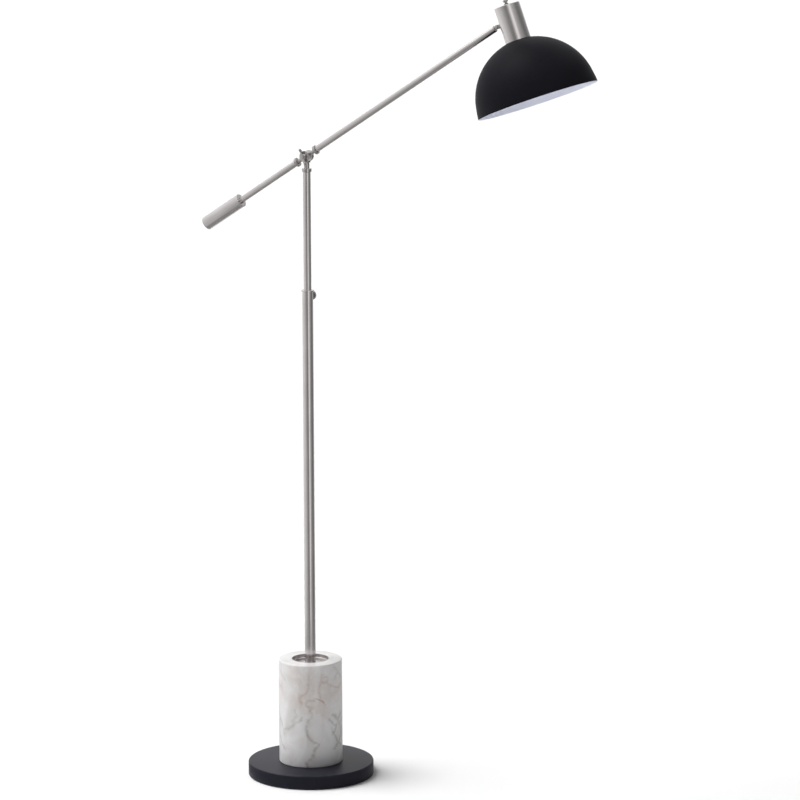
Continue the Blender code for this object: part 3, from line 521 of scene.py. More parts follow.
def carve(
    shape: bmesh.types.BMesh,
    steps: list[tuple[str, bmesh.types.BMesh, Matrix]],
    edge: float = 0.0,
) -> bmesh.types.BMesh:
    """Join shapes to a first one and cut others from it.

    Args:
        shape: The first shape, in the piece's own frame. It is used up.
        steps: UNION or DIFFERENCE, the other shape, and where it goes in the piece's frame.
        edge: Width of the bevel on the finished edges, or zero.

    Returns:
        The finished shape.
    """
    body = bpy.data.objects.new("carved", as_mesh("carved", shape))
    bpy.context.scene.collection.objects.link(body)
    helpers = []
    for operation, other, place in steps:
        helper = bpy.data.objects.new("helper", as_mesh("helper", other))
        bpy.context.scene.collection.objects.link(helper)
        helper.matrix_world = place
        boolean = body.modifiers.new("join", "BOOLEAN")
        boolean.operation = operation
        boolean.solver = "EXACT"
        boolean.object = helper
        helpers.append(helper)
    if edge > 0:
        bevel = body.modifiers.new("edge", "BEVEL")
        bevel.width = edge
        bevel.segments = 2
        bevel.limit_method = "ANGLE"
        bevel.angle_limit = math.radians(40)
    bpy.context.view_layer.update()
    done = bpy.data.meshes.new_from_object(body.evaluated_get(bpy.context.evaluated_depsgraph_get()))
    for obj in [body, *helpers]:
        bpy.data.objects.remove(obj, do_unlink=True)
    result = bmesh.new()
    result.from_mesh(done)
    bpy.data.meshes.remove(done)
    return result


def axes(origin: Vector, x: Vector, y: Vector, z: Vector) -> Matrix:
    """Make the matrix of a frame from its origin and its three axes."""
    matrix = Matrix((x, y, z)).transposed().to_4x4()
    matrix.translation = origin
    return matrix


def joint(name: str) -> dict:
    """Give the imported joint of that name."""
    return next(j for j in frame["joints"] if j["name"] == name)


@dataclass
class Places:
    """The lamp's working frames, read from its joints."""

    pivot: Vector = field(default_factory=lambda: Vector(joint("arm_tilt")["pos_m"]))
    hinge: Vector = field(default_factory=lambda: Vector(joint("head_tilt")["pos_m"]))
    cup: Vector = field(default_factory=lambda: Vector(joint("switch_turn")["pos_m"]))
    up: Vector = field(default_factory=lambda: Vector(joint("switch_turn")["axis"]).normalized())

    @property
    def reach(self) -> float:
        """The distance from the arm's pivot to the head's hinge."""
        return (self.hinge - self.pivot).length

    def arm(self) -> Matrix:
        """Z along the arm towards the head, Y across, origin on the pivot."""
        along = (self.hinge - self.pivot).normalized()
        across = Vector((0, 1, 0))
        return axes(self.pivot, across.cross(along), across, along)

    def bolt(self, origin: Vector) -> Matrix:
        """Z towards the near side, along a bolt that crosses the lamp."""
        return axes(origin, Vector((1, 0, 0)), Vector((0, 0, 1)), Vector((0, -1, 0)))

    def head(self, origin: Vector) -> Matrix:
        """Z up the cup's centre line, X away from the arm."""
        across = Vector((0, 1, 0))
        return axes(origin, across.cross(self.up), across, self.up)


@dataclass
class Workshop:
    """Makes finished pieces, hangs each on its body's empty and hides the solids that it stands for."""

    finishes: dict[Slot, bpy.types.Material]
    sharp_deg: float = 32.0

    def piece(
        self,
        name: str,
        shape: bmesh.types.BMesh,
        slot: Slot,
        body: Body,
        place: Matrix,
        nodes: tuple[str, ...],
    ) -> bpy.types.Object:
        """Make one finished piece.

        Args:
            name: The piece's name.
            shape: Its shape in its own frame. It is used up.
            slot: The record's slot that its finish stands for.
            body: The rigid body that it rides on.
            place: Its frame in the lamp.
            nodes: The solids that it stands for.

        Returns:
            The new object.
        """
        mesh = as_mesh(name, shape)
        mesh.materials.append(self.finishes[slot])
        mesh.shade_smooth()
        mesh.set_sharp_from_angle(angle=math.radians(self.sharp_deg))
        obj = bpy.data.objects.new(name, mesh)
        bpy.context.scene.collection.objects.link(obj)
        obj.matrix_world = place
        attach(obj, body.value)
        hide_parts(*nodes)
        LOG.info("made %s with %d faces", name, len(mesh.polygons))
        return obj

    def turned(
        self,
        name: str,
        corners: list[tuple[float, float, float]],
        slot: Slot,
        body: Body,
        place: Matrix,
        nodes: tuple[str, ...],
        steps: int = 96,
        closed: bool = True,
    ) -> bpy.types.Object:
        """Make one turned piece from its profile's corners."""
        shape = spin(trace(corners, closed), steps, closed)
        return self.piece(name, shape, slot, body, place, nodes)


def tube_corners(outer: float, wall: float, low: float, high: float) -> list[tuple[float, float, float]]:
    """Give the corners of a plain tube with its cut ends slightly broken."""
    burr = 0.15 * MM
    return [
        (outer - wall, high, burr),
        (outer, high, burr),
        (outer, low, burr),
        (outer - wall, low, burr),
    ]


# ---------------------------------------------------------------- base and column


@dataclass
class Base:
    """The black disc that the lamp stands on."""

    edge: float = 2.6 * MM
    wall: float = 1.2 * MM
    hole: float = 5.2 * MM
    hem: float = 0.5 * MM
    pad_edge: float = 0.4 * MM

    def build(self, shop: Workshop) -> None:
        """Build the spun cover and the felt pad."""
        low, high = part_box("base_cover")
        radius = high.x
        skirt = radius - self.wall
        roof = high.z - self.wall
        corners = [
            (self.hole, high.z, 0),
            (radius, high.z, self.edge),
            (radius, low.z, self.hem),
            (skirt, low.z, self.hem),
            (skirt, roof, self.edge - self.wall),
            (self.hole, roof, 0),
        ]
        shop.turned("base_cover_fine", corners, Slot.BASE_BLACK, Body.BASE, Matrix(), ("base_cover",), 192)
        pad_low, pad_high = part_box("base_pad")
        felt = [
            (0, pad_high.z, 0),
            (pad_high.x, pad_high.z, self.pad_edge),
            (pad_high.x, pad_low.z, self.pad_edge),
            (0, pad_low.z, 0),
        ]
        shop.turned("base_pad_fine", felt, Slot.FELT, Body.BASE, Matrix(), ("base_pad",), 128, closed=False)


@dataclass
class Vein:
    """One vein, as points (degrees round from the near side, height in mm) along its middle."""

    points: list[tuple[float, float]]
    width_mm: float
    strength: float
    channel: int


BEIGE, GREY, CLOUD = 0, 1, 2
VEINS = [
    Vein([(-2, 191), (-5, 170), (-9, 157), (-19, 145), (-17, 134)], 2.0, 0.42, BEIGE),
    Vein([(21, 192), (19, 184), (21, 175), (31, 173), (36, 168), (61, 160)], 1.7, 0.5, BEIGE),
    Vein([(20, 186), (30, 187), (33, 179), (24, 173)], 1.6, 0.42, BEIGE),
    Vein([(21, 175), (17, 165), (16, 153), (19, 145)], 1.9, 0.45, BEIGE),
    Vein([(9, 142), (16, 142), (22, 136), (25, 130)], 1.2, 1.0, BEIGE),
    Vein([(-11, 131), (-8, 136), (-1, 139), (8, 137)], 1.6, 0.55, BEIGE),
    Vein([(-10, 130), (-3, 126), (2, 123), (0, 119)], 1.8, 0.5, BEIGE),
    Vein([(50, 203), (60, 190), (73, 179)], 3.0, 0.35, GREY),
    Vein([(-7, 90), (-8, 78), (-7, 66), (-2, 57), (7, 51)], 2.1, 0.62, GREY),
    Vein([(7, 51), (12, 46), (7, 38), (5, 29), (2, 19), (-6, 13), (-7, 0)], 1.9, 0.62, GREY),
    Vein([(-17, 101), (-25, 91), (-40, 80), (-58, 74)], 2.2, 0.4, GREY),
    Vein([(45, 105), (57, 92), (66, 78), (72, 62)], 2.3, 0.66, GREY),
    Vein([(35, 97), (42, 88), (52, 83)], 2.0, 0.5, GREY),
    Vein([(42, 76), (50, 58), (62, 44), (73, 34)], 1.8, 0.7, GREY),
    Vein([(0, 119), (3, 108), (-3, 98), (-7, 88)], 2.4, 0.35, GREY),
    Vein([(-29, 117), (-28, 106), (-35, 91)], 2.4, 0.3, GREY),
    Vein([(-8, 176), (8, 168), (30, 160), (52, 150)], 20.0, 0.5, CLOUD),
    Vein([(-20, 142), (0, 134), (20, 122)], 17.0, 0.55, CLOUD),
    Vein([(-30, 205), (-22, 190), (-14, 176)], 14.0, 0.45, CLOUD),
    Vein([(-6, 60), (10, 42), (0, 12)], 12.0, 0.22, CLOUD),
]


@dataclass
class Marble:
    """The marble column with its recess, and the nickel dish that lies in it."""

    edge: float = 3.0 * MM
    hole: float = 7.0 * MM
    recess_depth: float = 9.0 * MM
    dish_wall: float = 1.0 * MM
    dish_bend: float = 2.2 * MM
    dish_hole: float = 5.2 * MM
    steps: int = 320
    rows: int = 190
    near_side_deg: float = -60.0
    wander_mm: float = 3.4
    spread: float = 1.55

    def build(self, shop: Workshop) -> None:
        """Build the column and the dish."""
        low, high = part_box("marble_column")
        dish_low, dish_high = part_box("seat_dish")
        radius = high.x
        recess = dish_high.x + 0.3 * MM
        floor = high.z - self.recess_depth
        outline = [
            (recess, floor, 0),
            (recess, high.z, 0.8 * MM),
            (radius, high.z, self.edge),
            (radius, 0, 0),
        ]
        top = trace(outline)
        profile: Profile = [p for p in top if p[1] > low.z]
        start = profile[-1][1]
        drop = (start - low.z - MM) / self.rows
        profile += [(radius, start - drop * (i + 1)) for i in range(self.rows)]
        profile += [(radius - 0.7 * MM, low.z), (self.hole, low.z), (self.hole, floor)]
        shape = spin(profile, self.steps)
        column = shop.piece("marble_column_fine", shape, Slot.MARBLE, Body.BASE, Matrix(), ("marble_column",))
        self.paint(column.data, radius, low.z)
        wall, bend, hole = self.dish_wall, self.dish_bend, self.dish_hole
        corners = [
            (dish_high.x - wall, dish_high.z, 0.3 * MM),
            (dish_high.x, dish_high.z, 0.3 * MM),
            (dish_high.x, dish_low.z, bend),
            (hole, dish_low.z, 0),
            (hole, dish_low.z + wall, 0),
            (dish_high.x - wall, dish_low.z + wall, bend),
        ]
        shop.turned("seat_dish_fine", corners, Slot.BRUSHED, Body.BASE, Matrix(), ("seat_dish",), 128)

    def paint(self, mesh: bpy.types.Mesh, radius: float, foot: float) -> None:
        """Store how much of each kind of vein every point has.

        The same veins run again, turned and flipped, round the far sides.

        Args:
            mesh: The column's mesh.
            radius: The column's radius.
            foot: The height of its underside.
        """
        count = len(mesh.vertices)
        co = np.empty(count * 3)
        mesh.vertices.foreach_get("co", co)
        co = co.reshape(-1, 3)
        wander = np.array([noise.noise_vector(Vector(p) * 55) for p in co]) * self.wander_mm * MM
        fine = np.array([noise.noise(Vector(p) * 210) for p in co])
        angle = np.arctan2(co[:, 1], co[:, 0]) - math.radians(self.near_side_deg)
        height = co[:, 2] - foot + wander[:, 2]
        amounts = np.zeros((count, 4))
        amounts[:, 3] = 1
        turns = ((0.0, 1, 1.0), (118.0, -1, 0.8), (232.0, 1, 0.75))
        for turn, flip, fade in turns:
            for vein in VEINS:
                line = smooth_line(vein.points, 14)
                line_angle = np.radians(line[:, 0] * flip + turn)
                line_height = line[:, 1] * MM
                gap = (angle[:, None] - line_angle[None] + math.pi) % math.tau - math.pi
                across = gap * radius + wander[:, 0][:, None]
                away = np.hypot(across, height[:, None] - line_height[None]).min(axis=1)
                width = vein.width_mm * self.spread * MM * (1 + 0.6 * fine)
                amount = vein.strength * fade * np.exp(-((away / width) ** 2) * 1.2)
                amounts[:, vein.channel] = np.maximum(amounts[:, vein.channel], amount)
        layer = mesh.color_attributes.new("veins", "FLOAT_COLOR", "POINT")
        layer.data.foreach_set("color", np.clip(amounts, 0, 1).astype(np.float32).ravel())


def smooth_line(points: list[tuple[float, float]], cuts: int) -> np.ndarray:
    """Draw a smooth line through points.

    Args:
        points: The points to pass through.
        cuts: How many stretches each span gets.

    Returns:
        The points of the smooth line, one row each.
    """
    p = np.array([points[0], *points, points[-1]], float)
    rows = []
    for i in range(len(points) - 1):
        a, b, c, d = p[i : i + 4]
        for t in np.linspace(0, 1, cuts, endpoint=False):
            bend = (2 * a - 5 * b + 4 * c - d) * t**2 + (3 * b - a - 3 * c + d) * t**3
            rows.append(0.5 * (2 * b + (c - a) * t + bend))
    rows.append(p[-1])
    return np.array(rows)


# ---------------------------------------------------------------- poles and pivot


@dataclass
class LowerPole:
    """The fixed lower pole, the collar in its top and the thumb knob that locks the height."""

    radius: float = 11.0 * MM
    wall: float = 1.0 * MM
    bore: float = 8.1 * MM
    spigot: float = 9.7 * MM
    lip: float = 3.2 * MM
    screw_hole: float = 3.2 * MM
    shank: float = 3.0 * MM
    knob_depth: float = 5.2 * MM

    def build(self, shop: Workshop) -> None:
        """Build the tube, the collar and the knob."""
        low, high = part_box("lower_tube")
        spot = Vector(joint("height_knob_turn")["pos_m"])
        cross = axes(Vector((0, 0, spot.z)), Vector((1, 0, 0)), Vector((0, 0, -1)), Vector((0, 1, 0)))
        tube = spin(trace(tube_corners(self.radius, self.wall, low.z, high.z)), 128)
        hole = solid_rod(self.screw_hole, 0, 30 * MM)
        tube = carve(tube, [("DIFFERENCE", hole, cross)])
        shop.piece("lower_pole", tube, Slot.BRUSHED, Body.BASE, Matrix(), ("lower_tube",))
        foot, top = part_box("lock_collar")
        step = top.z - self.lip
        corners = [
            (self.bore, top.z, 0.3 * MM),
            (top.x, top.z, 0.9 * MM),
            (top.x, step, 0.35 * MM),
            (self.spigot, step, 0),
            (self.spigot, foot.z, 0.4 * MM),
            (self.bore, foot.z, 0.4 * MM),
        ]
        hole = solid_rod(self.screw_hole, 0, 30 * MM)
        collar = carve(spin(trace(corners), 128), [("DIFFERENCE", hole, cross)])
        shop.piece("pole_collar", collar, Slot.BRUSHED, Body.BASE, Matrix(), ("lock_collar",))
        back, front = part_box("height_knob")
        face, radius = front.y, front.x
        dish = 1.2 * MM
        rim = [
            (0, face - dish, 0),
            (radius * 0.55, face - dish, 0.6 * MM),
            (radius * 0.74, face, 0.6 * MM),
            (radius, face, 1.3 * MM),
            (radius, face - self.knob_depth, 0.8 * MM),
            (self.shank, face - self.knob_depth, 0),
            (self.shank, back.y, 0.3 * MM),
            (0, back.y, 0),
        ]
        node = ("height_knob",)
        shop.turned("thumb_knob", rim, Slot.POLISHED, Body.HEIGHT_KNOB, cross, node, 96, closed=False)


@dataclass
class UpperPole:
    """The sliding upper pole and the turned ring in its top."""

    wall: float = 1.0 * MM
    plug: float = 6.5 * MM
    ring: float = 7.0 * MM
    neck: float = 5.5 * MM

    def build(self, shop: Workshop) -> None:
        """Build the tube and the ring."""
        low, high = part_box("upper_tube")
        tube = tube_corners(high.x, self.wall, low.z, high.z)
        shop.turned("upper_pole", tube, Slot.BRUSHED, Body.COLUMN, Matrix(), ("upper_tube",), 128)
        foot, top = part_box("stem_ring")
        ring_foot = high.z + 0.3 * MM
        ring_top = ring_foot + self.ring
        corners = [
            (0, top.z, 0),
            (self.neck, top.z, 0.3 * MM),
            (self.neck, ring_top, 0.5 * MM),
            (top.x, ring_top, 1.4 * MM),
            (top.x, ring_foot, 1.4 * MM),
            (self.plug, ring_foot, 0),
            (self.plug, foot.z, 0.4 * MM),
            (0, foot.z, 0),
        ]
        node = ("stem_ring",)
        shop.turned("stem_collar", corners, Slot.POLISHED, Body.COLUMN, Matrix(), node, 96, closed=False)


@dataclass
class Pivot:
    """The fork on the pole, with the bolt and wing nut that clamp the arm's hub in it."""

    ear: float = 11.0 * MM
    ear_in: float = 5.8 * MM
    ear_out: float = 9.8 * MM
    hub: float = 10.8 * MM
    heel_drop: float = 1.2 * MM
    neck: float = 5.5 * MM
    bolt: float = 3.0 * MM
    head: float = 7.2 * MM
    head_depth: float = 4.5 * MM
    wing_hub: float = 6.2 * MM
    wing_thick: float = 2.4 * MM
    wing_turn_deg: float = 113.0

    def build(self, shop: Workshop, places: Places) -> None:
        """Build the fork, the bolt and the wing nut."""
        centre = places.bolt(places.pivot)
        shop.piece("pole_fork", self.fork(), Slot.POLISHED, Body.COLUMN, centre, ("pivot_fork",))
        bolt = self.bolt_corners()
        node = ("pivot_bolt",)
        shop.turned("pivot_bolt_fine", bolt, Slot.POLISHED, Body.COLUMN, centre, node, 64, closed=False)
        turned = centre @ Matrix.Rotation(math.radians(self.wing_turn_deg), 4, "Z")
        shop.piece("wing_nut_fine", self.wing_nut(), Slot.POLISHED, Body.WING_NUT, turned, ("wing_nut",))

    def fork(self) -> bmesh.types.BMesh:
        """Build the fork as one casting: two round ears on a heel."""
        half, ear = self.ear_out, self.ear
        corners = [(0, half, 0), (ear, half, 0), (ear, -half, 0), (0, -half, 0)]
        body = spin(trace(corners, closed=False), 96, closed=False)
        foot = joint("arm_tilt")["pos_m"][2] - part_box("pivot_fork")[0].z
        top = self.hub + self.heel_drop
        down = Matrix.Rotation(math.radians(90), 4, "X")
        half = self.neck * 0.7
        inner = self.ear_in
        outer = self.ear_out - 1.0 * MM
        root_half = half - 0.2 * MM
        heel = solid_box((-half, -foot + 0.4 * MM, -outer), (half, -top - 0.1 * MM, outer))
        steps = [
            ("DIFFERENCE", solid_rod(self.ear + 2 * MM, -inner, inner, 96), Matrix()),
            ("UNION", solid_rod(self.neck, top, foot, 96), down),
            ("UNION", heel, Matrix()),
        ]
        for near, far in ((inner + 0.1 * MM, outer - 0.1 * MM), (0.1 * MM - outer, -inner - 0.1 * MM)):
            root = solid_box((-root_half, -top - 0.7 * MM, near), (root_half, -6.3 * MM, far))
            steps.append(("UNION", root, Matrix()))
        steps.append(("DIFFERENCE", solid_rod(self.bolt + 0.2 * MM, -30 * MM, 30 * MM, 48), Matrix()))
        return carve(body, steps, edge=0.35 * MM)

    def bolt_corners(self) -> list[tuple[float, float, float]]:
        """Give the profile of the domed bolt, whose head is on the far side."""
        face = -self.ear_out - 0.3 * MM
        end = self.ear_out + 8.0 * MM
        return [
            (0, end, 0),
            (self.bolt, end, 0.5 * MM),
            (self.bolt, face, 0),
            (self.head, face, 0.3 * MM),
            (self.head, face - self.head_depth * 0.55, 1.6 * MM),
            (self.head * 0.5, face - self.head_depth, 3 * MM),
            (0, face - self.head_depth, 0),
        ]

    def wing_nut(self) -> bmesh.types.BMesh:
        """Build the wing nut: a turned hub with two rounded wings."""
        face = self.ear_out + 0.3 * MM
        bore = self.bolt + 0.2 * MM
        corners = [
            (bore, face + self.wing_hub, 0.3 * MM),
            (self.wing_hub * 0.8, face + self.wing_hub, 0.8 * MM),
            (self.wing_hub, face + 1.0 * MM, 0.6 * MM),
            (self.wing_hub, face, 0.2 * MM),
            (bore, face, 0),
        ]
        hub = spin(trace(corners), 64)
        outline = [
            (4.4, 1.0, 0),
            (10.7, 1.6, 3.0),
            (15.8, 3.0, 3.0),
            (17.1, 6.2, 2.2),
            (16.2, 9.0, 1.4),
            (13.8, 9.6, 1.6),
            (10.3, 7.5, 2.5),
            (4.4, 5.6, 0),
        ]
        points = trace([(r * MM, h * MM, bend * MM) for r, h, bend in outline])
        steps = []
        for side in (1, -1):
            wing = flat_plate([(side * r, face + h) for r, h in points], self.wing_thick)
            steps.append(("UNION", wing, Matrix()))
        return carve(hub, steps, edge=0.5 * MM)


def flat_plate(outline: Profile, thickness: float) -> bmesh.types.BMesh:
    """Give an outline in the XZ plane a thickness along Y.

    Args:
        outline: The points round the outline, as X and Z.
        thickness: The thickness, centred on the plane.

    Returns:
        A closed plate.
    """
    shape = bmesh.new()
    sides = [[shape.verts.new((x, y, z)) for x, z in outline] for y in (-thickness / 2, thickness / 2)]
    shape.faces.new(sides[0])
    shape.faces.new(list(reversed(sides[1])))
    count = len(outline)
    for k in range(count):
        n = (k + 1) % count
        shape.faces.new((sides[0][n], sides[0][k], sides[1][k], sides[1][n]))
    bmesh.ops.recalc_face_normals(shape, faces=shape.faces)
    return shape


# ---------------------------------------------------------------- arm


@dataclass
class Arm:
    """The tilting arm: hub, collars, two tubes, counterweight and the tongue that carries the head."""

    radius: float = 6.35 * MM
    wall: float = 0.85 * MM
    hub: float = 10.5 * MM
    hub_half: float = 4.4 * MM
    nipple: float = 4.2 * MM
    bolt_hole: float = 3.3 * MM
    collar: float = 9.35 * MM
    collar_start: float = 22.5 * MM
    collar_wide: float = 5.0 * MM
    screw_hole: float = 1.7 * MM
    tube_start: float = 27.8 * MM
    plug: float = 20.0 * MM
    end_gap: float = 6.5 * MM
    rear: float = 190.0 * MM
    weight: float = 14.0 * MM
    weight_start: float = 180.0 * MM
    weight_long: float = 97.0 * MM
    stud_hole: float = 3.2 * MM
    stud_end: float = 220.3 * MM
    tongue: float = 4.4 * MM
    tongue_half: float = 2.0 * MM
    pin_hole: float = 1.9 * MM

    def build(self, shop: Workshop, places: Places) -> None:
        """Build every piece along the arm."""
        line = places.arm()
        front_end = places.reach - self.end_gap
        shop.piece("arm_hub_fine", self.hub_shape(), Slot.POLISHED, Body.ARM, line, ("arm_hub",))
        starts = {"collar_front": self.collar_start, "collar_rear": -self.collar_start - self.collar_wide}
        for name, start in starts.items():
            shape = self.collar_shape(start)
            if name == "collar_rear":
                middle = Vector((0, 0, start + self.collar_wide / 2))
                side = axes(middle, Vector((1, 0, 0)), Vector((0, 0, 1)), Vector((0, -1, 0)))
                hole = solid_rod(self.screw_hole, 0, 20 * MM, 32)
                shape = carve(shape, [("DIFFERENCE", hole, side)])
            shop.piece(name + "_fine", shape, Slot.POLISHED, Body.ARM, line, (name,))
        tubes = (
            ("arm_tube_front", self.tube_start, front_end),
            ("arm_tube_rear", -self.rear, -self.tube_start),
        )
        for name, start, end in tubes:
            corners = tube_corners(self.radius, self.wall, start, end)
            shop.turned(name + "_fine", corners, Slot.BRUSHED, Body.ARM, line, (name,), 96)
        weight = self.weight_corners()
        node = ("counterweight",)
        shop.turned("counterweight_fine", weight, Slot.BRUSHED, Body.ARM, line, node, 128, closed=False)
        shop.piece("arm_tongue", self.tongue_shape(places.reach), Slot.POLISHED, Body.ARM, line, ("arm_end",))

    def hub_shape(self) -> bmesh.types.BMesh:
        """Build the hub disc with a nipple to each side."""
        half, edge = self.hub_half, 0.7 * MM
        corners = [(0, half, 0), (self.hub, half, edge), (self.hub, -half, edge), (0, -half, 0)]
        across = Matrix.Rotation(math.radians(90), 4, "X")
        end = self.tube_start + self.plug
        nipple = solid_rod(self.nipple, -end, end, 64)
        nipple.transform(across.inverted())
        return turned_over(
            carve(
                spin(trace(corners, closed=False), 96, closed=False),
                [
                    ("UNION", nipple, Matrix()),
                    ("DIFFERENCE", solid_rod(self.bolt_hole, -2 * half, 2 * half, 48), Matrix()),
                ],
            ),
            across,
        )

    def collar_shape(self, start: float) -> bmesh.types.BMesh:
        """Build one collar, with a shallow groove at each rim."""
        bore = self.nipple + 0.3 * MM
        end = start + self.collar_wide
        corners = [
            (bore, end, 0.2 * MM),
            (self.collar, end, 0.9 * MM),
            (self.collar, start, 0.9 * MM),
            (bore, start, 0.2 * MM),
        ]
        return spin(trace(corners), 96)

    def weight_corners(self) -> list[tuple[float, float, float]]:
        """Give the profile of the counterweight: square shoulders by the pole, rounded at the end."""
        bore = self.radius + 0.3 * MM
        step = -self.rear - 0.3 * MM
        end = -self.weight_start - self.weight_long
        return [
            (0, -self.stud_end, 0),
            (self.stud_hole, -self.stud_end, 0),
            (self.stud_hole, step, 0),
            (bore, step, 0),
            (bore, -self.weight_start, 0.3 * MM),
            (self.weight, -self.weight_start, 0.9 * MM),
            (self.weight, end, 2.0 * MM),
            (0, end, 0),
        ]

    def tongue_shape(self, reach: float) -> bmesh.types.BMesh:
        """Build the plug with a short cone and the flat tongue that the head hinges on."""
        plug = self.radius - self.wall - 0.3 * MM
        flange = reach - self.end_gap + 0.3 * MM
        tip = flange + 1.2 * MM
        corners = [
            (0, tip, 0),
            (self.radius * 0.7, tip, 0.3 * MM),
            (self.radius - 0.3 * MM, flange, 0.3 * MM),
            (plug, flange, 0),
            (plug, flange - self.plug, 0.4 * MM),
            (0, flange - self.plug, 0),
        ]
        half, neck = self.tongue_half, self.tongue * 0.65
        eye = Matrix.Translation((0, 0, reach)) @ Matrix.Rotation(math.radians(90), 4, "X")
        return carve(
            spin(trace(corners, closed=False), 64, closed=False),
            [
                ("UNION", solid_rod(self.tongue, -half, half, 64), eye),
                ("UNION", solid_box((-neck, -half, tip - 0.8 * MM), (neck, half, reach)), Matrix()),
                ("DIFFERENCE", solid_rod(self.pin_hole, -10 * MM, 10 * MM, 32), eye),
            ],
            edge=0.2 * MM,
        )


def turned_over(shape: bmesh.types.BMesh, turn: Matrix) -> bmesh.types.BMesh:
    """Turn a shape in its own frame."""
    shape.transform(turn)
    return shape


# ---------------------------------------------------------------- head


@dataclass
class HeadJoint:
    """The short fork on the socket cup and its pin."""

    to_cup: float = 7.5 * MM
    ear: float = 4.4 * MM
    inner: float = 2.3 * MM
    outer: float = 4.8 * MM
    stud: float = 3.0 * MM
    stud_end: float = 12.96 * MM
    pin: float = 1.6 * MM
    pin_head: float = 3.0 * MM
    pin_head_deep: float = 1.4 * MM

    def build(self, shop: Workshop, places: Places) -> None:
        """Build the fork and the pin."""
        hinge = places.head(places.hinge)
        along = Matrix.Rotation(math.radians(90), 4, "Y")
        side = Matrix.Rotation(math.radians(90), 4, "X")
        cheek = self.ear + 0.6 * MM
        face = self.to_cup - 0.3 * MM
        corners = [
            (0, self.stud_end, 0),
            (self.stud, self.stud_end, 0.4 * MM),
            (self.stud, face, 0),
            (self.outer, face, 0.2 * MM),
            (self.outer, cheek, 0.2 * MM),
            (0, cheek, 0),
        ]
        body = turned_over(spin(trace(corners, closed=False), 64, closed=False), along)
        steps = []
        for sign in (1, -1):
            low, top = sorted((sign * self.inner, sign * self.outer))
            deep = self.ear * 0.8
            root = solid_box((0, low + 0.1 * MM, -deep), (cheek + 0.6 * MM, top - 0.1 * MM, deep))
            steps += [("UNION", solid_rod(self.ear, low, top, 64), side), ("UNION", root, Matrix())]
        steps.append(("DIFFERENCE", solid_rod(self.pin + 0.2 * MM, -10 * MM, 10 * MM, 32), side))
        shape = carve(body, steps, edge=0.2 * MM)
        shop.piece("cup_fork", shape, Slot.POLISHED, Body.HEAD, hinge, ("head_fork",))
        reach = self.outer + 0.3 * MM
        tip = reach + self.pin_head_deep
        pin = [
            (0, tip, 0),
            (self.pin_head * 0.75, tip, 0.5 * MM),
            (self.pin_head, reach + 0.6 * MM, 0.3 * MM),
            (self.pin_head, reach, 0.1 * MM),
            (self.pin, reach, 0),
            (self.pin, -reach, 0),
            (self.pin_head, -reach, 0.1 * MM),
            (self.pin_head, -reach - 0.6 * MM, 0.3 * MM),
            (self.pin_head * 0.75, -tip, 0.5 * MM),
            (0, -tip, 0),
        ]
        shop.turned("cup_pin", pin, Slot.POLISHED, Body.HEAD, hinge @ side, ("head_pin",), 48, closed=False)


@dataclass
class Cup:
    """The brushed cup over the lamp holder, the switch's nut on its top and the switch's knob."""

    radius: float = 25.0 * MM
    wall: float = 0.9 * MM
    above: float = 32.5 * MM
    below: float = 37.7 * MM
    neck_hole: float = 4.8 * MM
    stud_hole: float = 3.3 * MM
    knob: float = 5.2 * MM
    knob_foot: float = 36.4 * MM
    knob_high: float = 18.0 * MM

    def build(self, shop: Workshop, places: Places) -> None:
        """Build the cup, the nut and the knob."""
        centre = places.head(places.cup)
        corners = [
            (self.neck_hole, self.above, 0.1 * MM),
            (self.radius, self.above, 0.9 * MM),
            (self.radius, -self.below, 0.2 * MM),
            (self.radius - self.wall, -self.below, 0.2 * MM),
            (self.radius - self.wall, self.above - self.wall, 0.4 * MM),
            (self.neck_hole, self.above - self.wall, 0),
        ]
        hole = Matrix.Translation((-self.radius, 0, 0)) @ Matrix.Rotation(math.radians(90), 4, "Y")
        cutter = solid_rod(self.stud_hole, -10 * MM, 10 * MM, 48)
        shape = carve(spin(trace(corners), 160), [("DIFFERENCE", cutter, hole)])
        shop.piece("socket_cup_fine", shape, Slot.BRUSHED, Body.HEAD, centre, ("socket_cup",))
        foot = self.above + 0.3 * MM
        top = foot + 2.0 * MM
        nut = [
            (4.7 * MM, top, 0),
            (5.7 * MM, top, 0.5 * MM),
            (6.3 * MM, foot, 0.3 * MM),
            (4.7 * MM, foot, 0),
        ]
        shop.turned("switch_ring", nut, Slot.POLISHED, Body.HEAD, centre, ("switch_nut",), 64)
        shape = spin(trace(self.knob_corners(), closed=False), 64, closed=False)
        shop.piece("switch_pull", shape, Slot.POLISHED, Body.SWITCH_KNOB, centre, ("switch_knob",))

    def knob_corners(self) -> list[tuple[float, float, float]]:
        """Give the profile of the knob: a foot, a flange, a waist and a domed top."""
        foot, top = self.knob_foot, self.knob_foot + self.knob_high
        flange = foot + 2.8 * MM
        return [
            (0, top, 0),
            (2.9 * MM, top - 0.3 * MM, 1.2 * MM),
            (3.9 * MM, top - 2.6 * MM, 1.4 * MM),
            (3.7 * MM, flange + 4.4 * MM, 0.8 * MM),
            (self.knob, flange + 3.0 * MM, 0.5 * MM),
            (self.knob, flange + 0.5 * MM, 0.3 * MM),
            (3.1 * MM, flange, 0.3 * MM),
            (2.6 * MM, foot, 0.2 * MM),
            (0, foot, 0),
        ]


